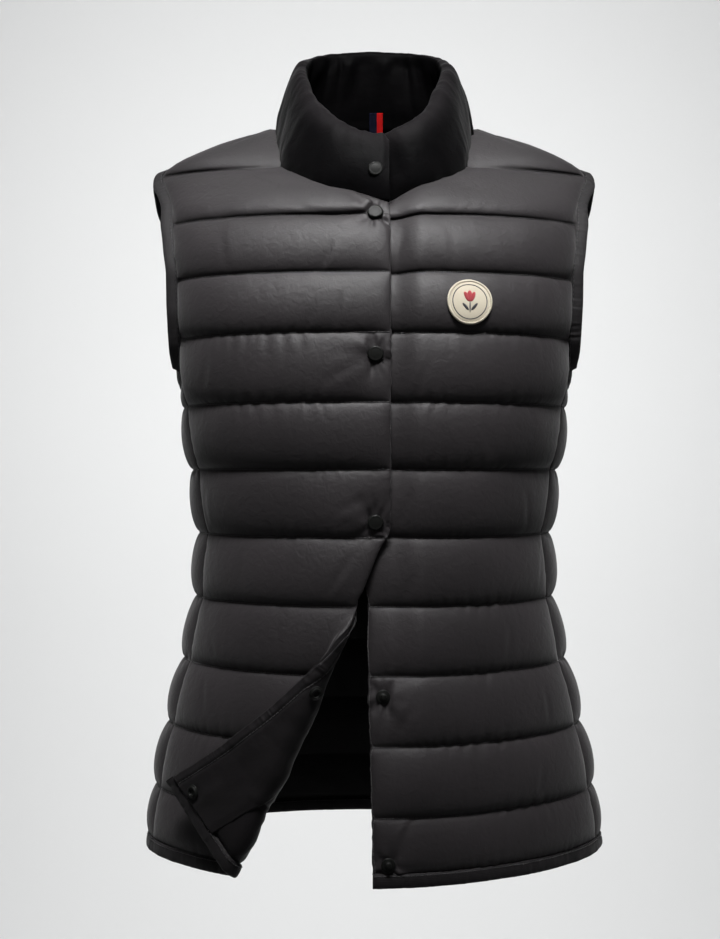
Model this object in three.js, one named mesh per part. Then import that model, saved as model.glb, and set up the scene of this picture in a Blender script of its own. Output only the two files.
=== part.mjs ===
// A women's quilted puffer vest, worn shape with nobody in it, in millimetres.
// Origin: between the shoulders at the level of the neck seam. +Z up, the front faces -Y, +X is the viewer's right.
// Every panel is a wall on one body surface: z says the height, "along" is the distance round the body from the
// centre front, and "out" is the distance off the stitched surface. The quilting swells the outer points only.

import * as THREE from "three";

// Driving sizes
const WALL = 2.5;
const SEAM_GAP = 0.3;
const OVERLAP = 12;
const UNDERLAP_DEPTH = 7.5;
const UNDERLAP_WIDTH = { from: 13, to: 38 };
const UNDERLAP_HEIGHT = { from: -602, to: -380 };
const PUFF = 7.5;
const CROWN_POWER = 0.7;
const PLACKET_FILL = { least: 0.25, from: 12, to: 42 };
const SIDE_FILL = { from: -4, to: 34 };
const HEM_SEAM_Z = -602.5;
const HEM_EDGE_Z = -614;
const HEM_BAND_THICK = 5;
const ARM_BAND_WIDTH = 12;
const ARM_BAND_THICK = 4;
const ARM_BAND_START = 1.7;
const ARM_BAND_LEAN = { least: 0.3, most: 0.92, from: -222, to: -185 };
const FACING_WIDTH = 53;
const FACING_THICK = 1.6;
const FACING_GAP = 1;
const FACING_INSET = 0.8;
const SNAP_CAP_RADIUS = 6.35;
const SNAP_CAP_HEIGHT = 2.4;
const SOCKET_RADIUS = 5.6;
const STUD_POST_RADIUS = 2.2;
const SNAP_SEAT = 0.35;
const COLLAR_SNAP_SEAT = 0.8;
const BADGE_RADIUS = 17.5;
const BADGE_ALONG = 72;
const BADGE_Z = -163;
const BADGE_THICK = 1.4;
const BADGE_GAP = 0.4;
const BADGE_DROOP = 2.2;
const LOOP_WIDTH = 12;
const LOOP_THICK = 1.4;
const LOOP_X = 2.4;
const LOOP_ENDS = [-14, 28];

// The body, a row for each quilting line and for the heights between neck and shoulder
const SECTIONS = table(
  ["z", "side", "front", "back", "frontPower", "backPower", "middle"],
  [
    [16, 84, 3, 53, 2, 2, 5],
    [4, 86, 4, 60, 1.6, 2, 5],
    [-13, 127, 20, 69, 1.6, 2, 5],
    [-34, 177, 41, 80, 1.75, 2.1, 5],
    [-41, 183, 48, 83, 1.8, 2.1, 5],
    [-65, 187, 71, 91, 1.9, 2.2, 3],
    [-90, 185, 95, 97, 2.1, 2.3, 0],
    [-138, 177, 111, 105, 2.4, 2.4, 0],
    [-186, 168, 119, 109, 2.5, 2.4, 0],
    [-240, 161, 120, 110, 2.4, 2.3, 0],
    [-292, 154, 117, 109, 2.2, 2.2, 0],
    [-345, 149, 115, 108, 2, 2.2, 0],
    [-398.5, 151.5, 117, 109, 1.9, 2.2, 0],
    [-452, 162, 120, 111, 1.8, 2.2, 0],
    [-506, 175, 123, 113, 1.75, 2.2, 0],
    [-560, 186, 125, 115, 1.7, 2.2, 0],
    [-620, 195, 126, 116, 1.7, 2.2, 0],
  ],
);
const QUILT_ROWS = [HEM_SEAM_Z, -560, -506, -452, -398.5, -345, -292, -240, -186, -138, -90, -41];
const STEPS_IN_CHANNEL = [0, 0.2, 0.5, 0.8];
const SHOULDER_TIP_Z = -34;
const FRONT_TOP_ROWS = [SHOULDER_TIP_Z, -22, -10, 1];
const BACK_TOP_ROWS = [SHOULDER_TIP_Z, -22, -10, 1, 6, 11, 14.5];
const ARMPIT_ROW = -213;
const UNDERARM_ROW = -240;

// Where a front stops at the side: shoulder seam, armhole, then side seam (depth of the line at each height)
const FRONT_OUTER = table(
  ["z", "depth"],
  [
    [4, 5], [-13, 5], [-34, 4], [-60, -20], [-85, -41], [-110, -52], [-134, -58], [-160, -58], [-186, -53],
    [-213, -44], [-240, -48], [-292, -47], [-345, -45], [-398, -37], [-452, -32], [-506, -28], [-560, -24],
    [-620, -22],
  ],
);
const BACK_ARMHOLE = table(
  ["z", "depth"],
  [[4, 5], [-13, 5.8], [-34, 7], [-60, 26], [-85, 43], [-110, 52], [-134, 55], [-160, 54], [-186, 49], [-213, 34]],
);
const ARMPIT_DROP = 12;
// Neckline half-width at each height, front and back
const FRONT_NECK = table(
  ["z", "half"],
  [[-78, -OVERLAP], [-74, 14], [-69, 28], [-55, 53], [-41, 67], [-18, 77], [1, 81]],
);
const BACK_NECK = table(["z", "half"], [[1, 81], [6, 73], [11, 56], [14.5, 26]]);
const NECK_CENTRE_Z = -78;
const NECK_CENTRE_RISE = 2.7;
const BACK_NECK_CENTRE_Z = 15;

// The free edges of the two fronts, as distance past the centre line towards the wearer's side
const RIGHT_EDGE = table(
  ["z", "along"],
  [
    [-78, -12], [-330, -12], [-340, -11], [-352, -4], [-372, 5], [-394, 14], [-420, 18], [-450, 21], [-485, 21],
    [-620, 16],
  ],
);
const LEFT_EDGE = table(["z", "along"], [[-78, -12], [-340, -12], [-396, -6], [-468, -6], [-508, -4], [-620, -2]]);

// The turned-back corner of the right front: the line where it begins to roll, and the roll
const FOLD_TOP = { along: 24, z: -394.5 };
const FOLD_FOOT = { along: 122, z: -611 };
const FOLD_BOW = 4.5;
const ROLL_RADIUS = 7.5;
const ROLL_FADE = { from: -15, to: 30, shift: 11 };
const FLAP_SLOPE = 0.46;
const FLAP_PUFF = 0.42;
const FLAP_PRESS = { near: 6, far: 28, from: -10, to: 25 };
const FLAP_LIFT = { height: 10, reach: 80 };

// Snaps: height, and the front's own distance from its free edge
const SNAP_INSET = 12;
const CLOSED_SNAPS = [-90, -203, -333];
const OPEN_SNAPS = table(["z", "inset", "lift"], [[-467.5, 12, 0.1], [-595, 19, 0.9]]);
const COLLAR_SNAP_LEVEL = 0.12;

// The stand collar: a row for each place round the neck, from the centre front to the centre back
const COLLAR = table(
  ["turn", "rimX", "rimY", "rimZ", "thick"],
  [
    [0, 0, -66, -20, 9],
    [0.1, 17, -64, -14, 12],
    [0.25, 40, -50, 4, 15],
    [0.42, 56, -18, 35, 15],
    [0.58, 62, 12, 58, 15],
    [0.72, 55, 39, 74, 15],
    [0.86, 33, 54, 82, 15],
    [1, 0, 58, 84.5, 15],
  ],
);
const COLLAR_END_SHIFT = { right: 2, left: -10.5 };
const COLLAR_END_THICK = 8;
const COLLAR_END_FADE = { from: OVERLAP, to: 46 };
const COLLAR_FULL_FADE = { from: 5, to: 60 };
const COLLAR_FOOT = 3;
const COLLAR_RIM = 1.5;
const COLLAR_MIDDLE_Y = 8;
const COLLAR_SPREAD = 1.1;

const BLACK_NYLON = new THREE.MeshStandardMaterial({ color: 0x1c191c, roughness: 0.5, metalness: 0 });
const BLACK_BINDING = new THREE.MeshStandardMaterial({ color: 0x121013, roughness: 0.6, metalness: 0 });
const BLACK_LINING = new THREE.MeshStandardMaterial({ color: 0x161416, roughness: 0.55, metalness: 0 });
const SNAP_PLASTIC = new THREE.MeshStandardMaterial({ color: 0x201d20, roughness: 0.4, metalness: 0.2 });
const LOOP_TAPE = new THREE.MeshStandardMaterial({ color: 0x222a52, roughness: 0.8, metalness: 0 });
const BADGE_CLOTH = new THREE.MeshStandardMaterial({ color: 0xe9e4d8, roughness: 0.85, metalness: 0 });

// Tables and smooth steps

function table(columns, rows) {
  return rows.map((row) => Object.fromEntries(columns.map((name, k) => [name, row[k]])));
}

function smooth(from, to, value) {
  const t = Math.min(1, Math.max(0, (value - from) / (to - from)));
  return t * t * (3 - 2 * t);
}

// Reads one column of a table at a key, along a curve with no overshoot
function read(rows, key, column, at) {
  const rising = rows[0][key] < rows[rows.length - 1][key];
  const list = rising ? rows : [...rows].reverse();
  if (at <= list[0][key]) return list[0][column];
  if (at >= list[list.length - 1][key]) return list[list.length - 1][column];
  let k = 0;
  while (list[k + 1][key] < at) k += 1;
  const slope = (i) => (list[i + 1][column] - list[i][column]) / (list[i + 1][key] - list[i][key]);
  const tangent = (i) => {
    if (i === 0) return slope(0);
    if (i === list.length - 1) return slope(i - 1);
    const before = slope(i - 1);
    const after = slope(i);
    return before * after <= 0 ? 0 : (2 * before * after) / (before + after);
  };
  const step = list[k + 1][key] - list[k][key];
  const t = (at - list[k][key]) / step;
  const u = 1 - t;
  return (
    (1 + 2 * t) * u * u * list[k][column] +
    t * u * u * step * tangent(k) +
    t * t * (3 - 2 * t) * list[k + 1][column] -
    t * t * u * step * tangent(k + 1)
  );
}

// The body surface

const RING_STEPS = 72;

// Half a ring at one height, from the centre front round the side to the centre back
function halfRing(z) {
  const get = (column) => read(SECTIONS, "z", column, z);
  const [side, front, back, middle] = ["side", "front", "back", "middle"].map(get);
  const powers = { front: get("frontPower"), back: get("backPower") };
  const points = [];
  let length = 0;
  for (let k = 0; k <= RING_STEPS; k += 1) {
    const angle = (Math.PI * k) / RING_STEPS;
    const ahead = k <= RING_STEPS / 2;
    const power = 2 / (ahead ? powers.front : powers.back);
    const x = side * Math.pow(Math.abs(Math.sin(angle)), power);
    const reach = Math.pow(Math.abs(Math.cos(angle)), power);
    const y = ahead ? middle - front * reach : middle + back * reach;
    if (k > 0) length += Math.hypot(x - points[k - 1].x, y - points[k - 1].y);
    points.push({ x, y, length });
  }
  return points;
}

const ringCache = new Map();
function ringAt(z) {
  const key = Math.round(z * 20) / 20;
  if (!ringCache.has(key)) ringCache.set(key, halfRing(key));
  return ringCache.get(key);
}

function ringLength(z) {
  const ring = ringAt(z);
  return ring[ring.length - 1].length;
}

// Distance from the centre front to where a coordinate passes a value, between two steps of the ring
function distanceWhere(z, name, value, from, to) {
  const ring = ringAt(z);
  for (let k = from; k < to; k += 1) {
    const a = ring[k];
    const b = ring[k + 1];
    if ((a[name] - value) * (b[name] - value) <= 0 && a[name] !== b[name]) {
      return a.length + ((b.length - a.length) * (value - a[name])) / (b[name] - a[name]);
    }
  }
  return Math.abs(ring[from][name] - value) < Math.abs(ring[to][name] - value) ? ring[from].length : ring[to].length;
}

function flatPoint(along, z) {
  const ring = ringAt(z);
  const full = ring[ring.length - 1].length;
  let distance = Math.abs(along);
  let mirror = along < 0 ? -1 : 1;
  if (distance > full) {
    distance = 2 * full - distance;
    mirror = -mirror;
  }
  let low = 0;
  let high = ring.length - 1;
  while (high - low > 1) {
    const half = (low + high) >> 1;
    if (ring[half].length <= distance) low = half;
    else high = half;
  }
  const t = (distance - ring[low].length) / (ring[high].length - ring[low].length);
  const x = ring[low].x + t * (ring[high].x - ring[low].x);
  const y = ring[low].y + t * (ring[high].y - ring[low].y);
  return new THREE.Vector3(mirror * x, y, z);
}

function surfaceNormal(along, z) {
  const step = 3;
  const round = flatPoint(along + step, z).sub(flatPoint(along - step, z));
  const here = flatPoint(along, z);
  const full = ringLength(z);
  const share = along / full;
  const up = flatPoint(share * ringLength(z + step), z + step).sub(flatPoint(share * ringLength(z - step), z - step));
  const normal = new THREE.Vector3().crossVectors(round, up).normalize();
  const outward = new THREE.Vector3(here.x, here.y, 0);
  return normal.dot(outward) < 0 ? normal.negate() : normal;
}

// A point off the body: side is +1 for the wearer's left (viewer's right), -1 for the right
function onBody(side, along, z, out) {
  return flatPoint(side * along, z).addScaledVector(surfaceNormal(side * along, z), out);
}

// Quilting

function channelShare(z) {
  const rows = [-640, ...QUILT_ROWS, 24];
  let k = 0;
  while (k < rows.length - 2 && rows[k + 1] <= z) k += 1;
  return (z - rows[k]) / (rows[k + 1] - rows[k]);
}

// How far a share of the way up a channel swells, from 0 at the stitched rows to 1
function crown(share) {
  return Math.pow(Math.sin(Math.PI * Math.min(0.9999, Math.max(0, share))), CROWN_POWER);
}

function placketFill(fromInner) {
  return PLACKET_FILL.least + (1 - PLACKET_FILL.least) * smooth(PLACKET_FILL.from, PLACKET_FILL.to, fromInner);
}

function swell(z, fromInner, fromOuter) {
  return PUFF * crown(channelShare(z)) * placketFill(fromInner) * smooth(SIDE_FILL.from, SIDE_FILL.to, fromOuter);
}

// The turned-back corner

function foldFrame() {
  const d = { along: FOLD_FOOT.along - FOLD_TOP.along, z: FOLD_FOOT.z - FOLD_TOP.z };
  const length = Math.hypot(d.along, d.z);
  const down = { along: d.along / length, z: d.z / length };
  return { down, across: { along: down.z, z: -down.along }, length };
}

// Where a point of the flat right front lies in the frame of the fold: down the fold and past it
function foldPlace(along, z) {
  const { down, across, length } = foldFrame();
  const a = along - FOLD_TOP.along;
  const b = z - FOLD_TOP.z;
  const run = a * down.along + b * down.z;
  const bow = FOLD_BOW * Math.sin(Math.PI * Math.min(1, Math.max(0, run / length)));
  const shift = ROLL_FADE.shift * (1 - smooth(ROLL_FADE.from, ROLL_FADE.to, run)) + bow;
  return { run, past: a * across.along + b * across.z - shift, shift };
}

function turnBack(along, z, out) {
  const { down, across } = foldFrame();
  const { run, past, shift } = foldPlace(along, z);
  if (past <= 0) return { along, z, out };
  const angle = Math.min(Math.PI, past / ROLL_RADIUS);
  const beyond = past - angle * ROLL_RADIUS;
  const reach = (ROLL_RADIUS - out) * Math.sin(angle) - beyond + shift;
  return {
    along: FOLD_TOP.along + run * down.along + reach * across.along,
    z: FOLD_TOP.z + run * down.z + reach * across.z,
    out: ROLL_RADIUS - (ROLL_RADIUS - out) * Math.cos(angle) + FLAP_LIFT.height * (beyond / FLAP_LIFT.reach) ** 2,
  };
}

// How flat the quilting is pressed in and under the flap
function flapPress(along, z) {
  const { run, past } = foldPlace(along, z);
  const reach = FLAP_SLOPE * Math.max(0, run);
  const under = 1 - smooth(reach + FLAP_PRESS.near, reach + FLAP_PRESS.far, -past);
  const below = smooth(FLAP_PRESS.from, FLAP_PRESS.to, run);
  return 1 - (1 - FLAP_PUFF) * under * below;
}

function onRightFront(along, z, out) {
  const moved = turnBack(along, z, out);
  return onBody(-1, moved.along, moved.z, moved.out);
}

// The left front runs under the right one at the centre
function onLeftFront(along, z, out) {
  const near = 1 - smooth(UNDERLAP_WIDTH.from, UNDERLAP_WIDTH.to, along);
  return onBody(1, along, z, out - UNDERLAP_DEPTH * near * smooth(UNDERLAP_HEIGHT.from, UNDERLAP_HEIGHT.to, z));
}

// Closed bodies from grids of points

function bodyFromTriangles(points, triangles) {
  const seen = new Map();
  const places = [];
  const index = points.map((p) => {
    const key = [p.x, p.y, p.z].map((v) => Math.round(v * 500)).join(",");
    if (!seen.has(key)) {
      seen.set(key, places.length / 3);
      places.push(p.x, p.y, p.z);
    }
    return seen.get(key);
  });
  const kept = [];
  for (const [a, b, c] of triangles) {
    const [i, j, k] = [index[a], index[b], index[c]];
    if (i !== j && j !== k && k !== i) kept.push([i, j, k]);
  }
  let volume = 0;
  const at = (i) => new THREE.Vector3(places[3 * i], places[3 * i + 1], places[3 * i + 2]);
  for (const [i, j, k] of kept) volume += at(i).dot(new THREE.Vector3().crossVectors(at(j), at(k)));
  const turned = volume < 0 ? kept.map(([i, j, k]) => [i, k, j]) : kept;
  const geometry = new THREE.BufferGeometry();
  geometry.setAttribute("position", new THREE.Float32BufferAttribute(places, 3));
  geometry.setIndex(turned.flat());
  geometry.computeVertexNormals();
  return geometry;
}

// A wall from two grids of the same size, closed along every edge of the cells that are there. The cells of a
// leaning wall are cut the other way, along its fold.
function wall(outer, inner, isThere = () => true, leaning = false) {
  const rows = outer.length;
  const columns = outer[0].length;
  const size = rows * columns;
  const triangles = [];
  const quad = (a, b, c, d) => triangles.push([a, b, c], [a, c, d]);
  const cell = (a, b, c, d) => (leaning ? quad(b, c, d, a) : quad(a, b, c, d));
  const has = (i, j) => i >= 0 && j >= 0 && i < rows - 1 && j < columns - 1 && isThere(i, j);
  for (let i = 0; i < rows - 1; i += 1) {
    for (let j = 0; j < columns - 1; j += 1) {
      if (!has(i, j)) continue;
      const [a, b] = [i * columns + j, i * columns + j + 1];
      const [d, c] = [a + columns, b + columns];
      cell(a, b, c, d);
      cell(size + a, size + b, size + c, size + d);
      triangles.push(triangles.pop().reverse(), triangles.pop().reverse());
      const rim = (from, to) => quad(from, size + from, size + to, to);
      if (!has(i - 1, j)) rim(a, b);
      if (!has(i, j + 1)) rim(b, c);
      if (!has(i + 1, j)) rim(c, d);
      if (!has(i, j - 1)) rim(d, a);
    }
  }
  return bodyFromTriangles([...outer.flat(), ...inner.flat()], triangles);
}

// A band from a list of closed loops of points, with flat ends, or joined to its start
function band(loops, joined) {
  const size = loops[0].length;
  const triangles = [];
  const at = (i, j) => (i % loops.length) * size + (j % size);
  const last = joined ? loops.length : loops.length - 1;
  for (let i = 0; i < last; i += 1) {
    for (let j = 0; j < size; j += 1) {
      triangles.push([at(i, j), at(i, j + 1), at(i + 1, j + 1)], [at(i, j), at(i + 1, j + 1), at(i + 1, j)]);
    }
  }
  if (!joined) {
    for (let j = 1; j < size - 1; j += 1) {
      triangles.push([at(0, 0), at(0, j + 1), at(0, j)]);
      triangles.push([at(loops.length - 1, 0), at(loops.length - 1, j), at(loops.length - 1, j + 1)]);
    }
  }
  return bodyFromTriangles(loops.flat(), triangles);
}

// Rows of heights for the panels

function panelHeights(topRows) {
  const heights = [];
  for (let k = 0; k < QUILT_ROWS.length - 1; k += 1) {
    for (const step of STEPS_IN_CHANNEL) heights.push(QUILT_ROWS[k] + step * (QUILT_ROWS[k + 1] - QUILT_ROWS[k]));
  }
  heights.push(QUILT_ROWS[QUILT_ROWS.length - 1], ...topRows);
  return heights.map((z) => (Math.abs(z - ARMPIT_ROW) < 4 ? ARMPIT_ROW : z));
}

function frontInner(z, edge) {
  if (z <= NECK_CENTRE_Z) return read(edge, "z", "along", z);
  return distanceWhere(z, "x", read(FRONT_NECK, "z", "half", z), 0, RING_STEPS / 2);
}

function frontOuter(z) {
  return distanceWhere(z, "y", read(FRONT_OUTER, "z", "depth", z), 0, RING_STEPS) - SEAM_GAP / 2;
}

const FLAP_COLUMNS = 4;
const PLACKET_COLUMN = 12;
const PLACKET = { width: 24, share: 0.3, rolledShare: 0.2 };
const ROLL_ZONE = { least: 28, share: 0.25, length: Math.PI * ROLL_RADIUS * 1.11 };
const ROOM_PAST_ROLL = { end: 60, start: 30 };

function spread(from, to, count) {
  return Array.from({ length: count }, (_, k) => from + ((to - from) * k) / count);
}

// Columns of a front at one height: the placket, the roll of the turned corner, and the rest
function frontColumns(z, edge, rolled) {
  const inner = frontInner(z, edge);
  const outer = frontOuter(z);
  if (!rolled) {
    const placket = inner + Math.min(PLACKET.width, PLACKET.share * (outer - inner));
    return [...spread(inner, placket, 2), ...spread(placket, outer, 7), outer];
  }
  const lean = (FOLD_FOOT.along - FOLD_TOP.along) / (FOLD_FOOT.z - FOLD_TOP.z);
  const rollStart = FOLD_TOP.along + (z - FOLD_TOP.z) * lean;
  const rollEnd = rollStart - ROLL_ZONE.length;
  const width = outer - inner;
  const placket = inner + Math.min(PLACKET.width, PLACKET.rolledShare * width);
  const first = Math.max(placket, Math.min(rollEnd, outer - ROOM_PAST_ROLL.end));
  const zoneEnd = first + Math.min(ROLL_ZONE.least, ROLL_ZONE.share * width);
  const second = Math.max(zoneEnd, Math.min(rollStart, outer - ROOM_PAST_ROLL.start));
  return [...spread(inner, first, FLAP_COLUMNS), ...spread(first, second, 6), ...spread(second, outer, 6), outer];
}

function frontPanel(edge, rolled, place) {
  const outer = [];
  const inner = [];
  for (const z of panelHeights(FRONT_TOP_ROWS)) {
    const columns = frontColumns(z, edge, rolled);
    const last = columns[columns.length - 1];
    const rise = (along) => swell(z, along - columns[0], last - along) * (rolled ? flapPress(along, z) : 1);
    outer.push(columns.map((along) => place(along, z, rise(along))));
    inner.push(columns.map((along) => place(along, z, -WALL)));
  }
  return wall(outer, inner, undefined, rolled);
}

// The back: columns from the wearer's right side seam round to the left one. Under each arm it reaches forward.
const BACK_COLUMNS = 14;
const GUSSET_COLUMNS = 4;

function backEdge(z) {
  const full = ringLength(z);
  if (z <= BACK_NECK[0].z) {
    const depth = read(BACK_ARMHOLE, "z", "depth", Math.max(z, ARMPIT_ROW));
    return full - distanceWhere(z, "y", depth, 0, RING_STEPS);
  }
  return full - distanceWhere(z, "x", read(BACK_NECK, "z", "half", z), RING_STEPS / 2, RING_STEPS);
}

// Half of one row of the back: pairs of distance from the centre back and height
function backHalfRow(z) {
  const full = ringLength(z);
  const edge = backEdge(z);
  const main = [...spread(0, edge, BACK_COLUMNS / 2), edge];
  const pairs = main.map((along) => ({ along, z }));
  for (let k = 1; k <= GUSSET_COLUMNS; k += 1) {
    const share = k / GUSSET_COLUMNS;
    if (z > ARMPIT_ROW) {
      pairs.push({ along: edge, z });
    } else {
      const seam = full - frontOuter(z) - SEAM_GAP;
      const droop = ARMPIT_DROP * Math.sin(Math.PI * share) * smooth(UNDERARM_ROW, ARMPIT_ROW, z);
      pairs.push({ along: edge + (seam - edge) * share, z: z - droop });
    }
  }
  return pairs;
}

function backPanel() {
  const outer = [];
  const inner = [];
  const heights = panelHeights(BACK_TOP_ROWS);
  for (const z of heights) {
    const half = backHalfRow(z);
    const last = half[half.length - 1].along;
    const point = (side, pair, raised) => {
      const full = ringLength(pair.z);
      const swollen = swell(pair.z, 999, last - pair.along);
      const armpit = z <= ARMPIT_ROW && z > UNDERARM_ROW ? smooth(ARMPIT_ROW, UNDERARM_ROW, z) : 1;
      const gusset = pair.along > half[BACK_COLUMNS / 2].along ? armpit : 1;
      return onBody(side, full - pair.along, pair.z, raised ? swollen * gusset : -WALL);
    };
    const right = [...half].reverse();
    outer.push([...right.map((p) => point(-1, p, true)), ...half.slice(1).map((p) => point(1, p, true))]);
    inner.push([...right.map((p) => point(-1, p, false)), ...half.slice(1).map((p) => point(1, p, false))]);
  }
  const columns = outer[0].length - 1;
  const underArm = (j) => j < GUSSET_COLUMNS || j >= columns - GUSSET_COLUMNS;
  return wall(outer, inner, (i, j) => heights[i] < ARMPIT_ROW || !underArm(j));
}

// The loop of an armhole's seam: down the front edge, under the arm, up the back edge
function armholeSeam(side) {
  const points = [];
  const frontRows = panelHeights(FRONT_TOP_ROWS).filter((row) => row <= SHOULDER_TIP_Z && row >= ARMPIT_ROW);
  for (const z of frontRows.reverse()) points.push(onBody(side, frontOuter(z) + SEAM_GAP / 2, z, -WALL / 2));
  const arc = backHalfRow(ARMPIT_ROW).slice(BACK_COLUMNS / 2).reverse().slice(1);
  for (const pair of arc) points.push(onBody(side, ringLength(pair.z) - pair.along, pair.z, -WALL / 2));
  for (const z of panelHeights(BACK_TOP_ROWS).filter((row) => row < SHOULDER_TIP_Z && row > ARMPIT_ROW)) {
    points.push(onBody(side, ringLength(z) - backEdge(z), z, -WALL / 2));
  }
  return points;
}

const ARMHOLE_CENTRE = { y: 0, z: -125 };

function armholeBinding(side) {
  const seam = armholeSeam(side);
  const loops = seam.map((point, k) => {
    const next = seam[(k + 1) % seam.length];
    const before = seam[(k + seam.length - 1) % seam.length];
    const tangent = new THREE.Vector3().subVectors(next, before).normalize();
    const inward = new THREE.Vector3(0, ARMHOLE_CENTRE.y - point.y, ARMHOLE_CENTRE.z - point.z).normalize();
    const { least, most, from, to } = ARM_BAND_LEAN;
    const sideways = least + (most - least) * smooth(from, to, point.z);
    const reach = inward.multiplyScalar(1 - sideways).add(new THREE.Vector3(side * sideways, 0, 0));
    reach.addScaledVector(tangent, -reach.dot(tangent)).normalize();
    const thick = new THREE.Vector3().crossVectors(tangent, reach).normalize();
    const half = ARM_BAND_THICK / 2;
    const profile = [
      [ARM_BAND_START, -0.7], [ARM_BAND_START, 0.7], [5, 1], [9, 1], [ARM_BAND_WIDTH, 0.5], [ARM_BAND_WIDTH, -0.5],
      [9, -1], [5, -1],
    ];
    return profile.map(([a, b]) => point.clone().addScaledVector(reach, a).addScaledVector(thick, b * half));
  });
  return band(loops, true);
}

// Hem bindings: a rounded band below each panel's last stitched row
function hemLoop(place) {
  const top = HEM_SEAM_Z - SEAM_GAP;
  const half = HEM_BAND_THICK / 2;
  const mid = -WALL / 2;
  const profile = [
    [top, -0.9], [top, 0.9], [top - 3, 1.1], [top - 8, 1.1], [HEM_EDGE_Z, 0.5], [HEM_EDGE_Z, -0.5], [top - 8, -1.1],
    [top - 3, -1.1],
  ];
  return profile.map(([z, b]) => place(z, mid + b * half));
}

function frontHem(edge, rolled, place) {
  const columns = frontColumns(HEM_SEAM_Z, edge, rolled);
  return band(columns.map((along) => hemLoop((z, out) => place(along, z, out))), false);
}

function backHem() {
  const half = backHalfRow(HEM_SEAM_Z);
  const full = ringLength(HEM_SEAM_Z);
  const loopAt = (side) => (pair) => hemLoop((z, out) => {
    const scale = ringLength(z) / full;
    return onBody(side, (full - pair.along) * scale, z, out);
  });
  const right = [...half].reverse().map(loopAt(-1));
  return band([...right, ...half.slice(1).map(loopAt(1))], false);
}

// The facing that shows on the turned-back corner, on the front's own columns
function facing() {
  const outer = [];
  const inner = [];
  for (const z of panelHeights([]).filter((row) => row < FOLD_TOP.z)) {
    const columns = frontColumns(z, RIGHT_EDGE, true);
    const start = columns[0];
    const end = Math.min(columns[FLAP_COLUMNS], start + FACING_WIDTH);
    const kept = [...spread(start, end, FLAP_COLUMNS), end];
    kept[0] += FACING_INSET;
    outer.push(kept.map((along) => onRightFront(along, z, -WALL - FACING_GAP)));
    inner.push(kept.map((along) => onRightFront(along, z, -WALL - FACING_GAP - FACING_THICK)));
  }
  return wall(outer, inner, undefined, true);
}

// The stand collar

function neckSeam() {
  const front = panelHeights(FRONT_TOP_ROWS).filter((z) => z > NECK_CENTRE_Z);
  const points = [flatPoint(0, NECK_CENTRE_Z + NECK_CENTRE_RISE)];
  for (const z of front) points.push(flatPoint(frontInner(z, LEFT_EDGE), z));
  const back = BACK_TOP_ROWS.filter((z) => z > BACK_NECK[0].z);
  for (const z of back) points.push(flatPoint(ringLength(z) - backEdge(z), z));
  points.push(flatPoint(ringLength(BACK_NECK_CENTRE_Z), BACK_NECK_CENTRE_Z));
  return points;
}

function collarLoop(foot, turn, side, shift, thin) {
  const rim = new THREE.Vector3(...["rimX", "rimY", "rimZ"].map((name) => read(COLLAR, "turn", name, turn)));
  const away = new THREE.Vector3(foot.x * COLLAR_SPREAD, foot.y - COLLAR_MIDDLE_Y, 0).normalize();
  const thick = Math.min(read(COLLAR, "turn", "thick", turn), thin) / 2;
  const up = new THREE.Vector3().subVectors(rim, foot);
  const height = up.length();
  up.normalize();
  const out = away.addScaledVector(up, -away.dot(up)).normalize();
  const top = height - COLLAR_RIM;
  const profile = [
    [COLLAR_FOOT, 0.35], [0.12 * height, 0.7], [0.35 * height, 1.02], [0.65 * height, 1.05], [0.86 * height, 0.85],
    [top, 0.35], [top, -0.35], [0.86 * height, -0.8], [0.65 * height, -0.95], [0.35 * height, -0.9],
    [0.12 * height, -0.65], [COLLAR_FOOT, -0.35],
  ];
  return profile.map(([a, b]) => {
    const point = foot.clone().addScaledVector(up, a).addScaledVector(out, b * thick + shift);
    return new THREE.Vector3(point.x * side, point.y, point.z);
  });
}

function collarEnd(side) {
  const seam = neckSeam();
  const loops = [];
  const endShift = COLLAR_END_SHIFT[side < 0 ? "right" : "left"];
  const shiftOf = (reach) => endShift * (1 - smooth(COLLAR_END_FADE.from, COLLAR_END_FADE.to, reach));
  for (const x of [-OVERLAP + 0.5, -OVERLAP / 2]) {
    const foot = flatPoint(0, NECK_CENTRE_Z + (NECK_CENTRE_RISE * (x + OVERLAP)) / OVERLAP);
    const cut = x < -OVERLAP / 2 ? 0.9 : 1;
    const loop = collarLoop(foot, 0, 1, shiftOf(x), COLLAR_END_THICK);
    loops.push(loop.map((p) => new THREE.Vector3((p.x + x) * side, p.y, foot.z + (p.z - foot.z) * cut)));
  }
  seam.forEach((foot, k) => {
    const reach = foot.y > 0 ? COLLAR_FULL_FADE.to : foot.x;
    const thin = COLLAR_END_THICK * (1 + smooth(COLLAR_FULL_FADE.from, COLLAR_FULL_FADE.to, reach));
    loops.push(collarLoop(foot, k / (seam.length - 1), side, shiftOf(reach), thin));
  });
  return loops;
}

function collar() {
  const right = collarEnd(-1);
  const left = collarEnd(1).reverse();
  return band([...right, ...left.slice(1)], false);
}

// Small hard pieces turned about an axis that points off the cloth

function turned(profile, foot, axis) {
  const geometry = new THREE.LatheGeometry(profile.map(([r, h]) => new THREE.Vector2(r, h)), 14);
  geometry.applyQuaternion(new THREE.Quaternion().setFromUnitVectors(new THREE.Vector3(0, 1, 0), axis));
  geometry.translate(foot.x, foot.y, foot.z);
  const points = [];
  const position = geometry.getAttribute("position");
  for (let k = 0; k < position.count; k += 1) points.push(new THREE.Vector3().fromBufferAttribute(position, k));
  const triangles = [];
  const index = geometry.getIndex().array;
  for (let k = 0; k < index.length; k += 3) triangles.push([index[k], index[k + 1], index[k + 2]]);
  return bodyFromTriangles(points, triangles);
}

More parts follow.
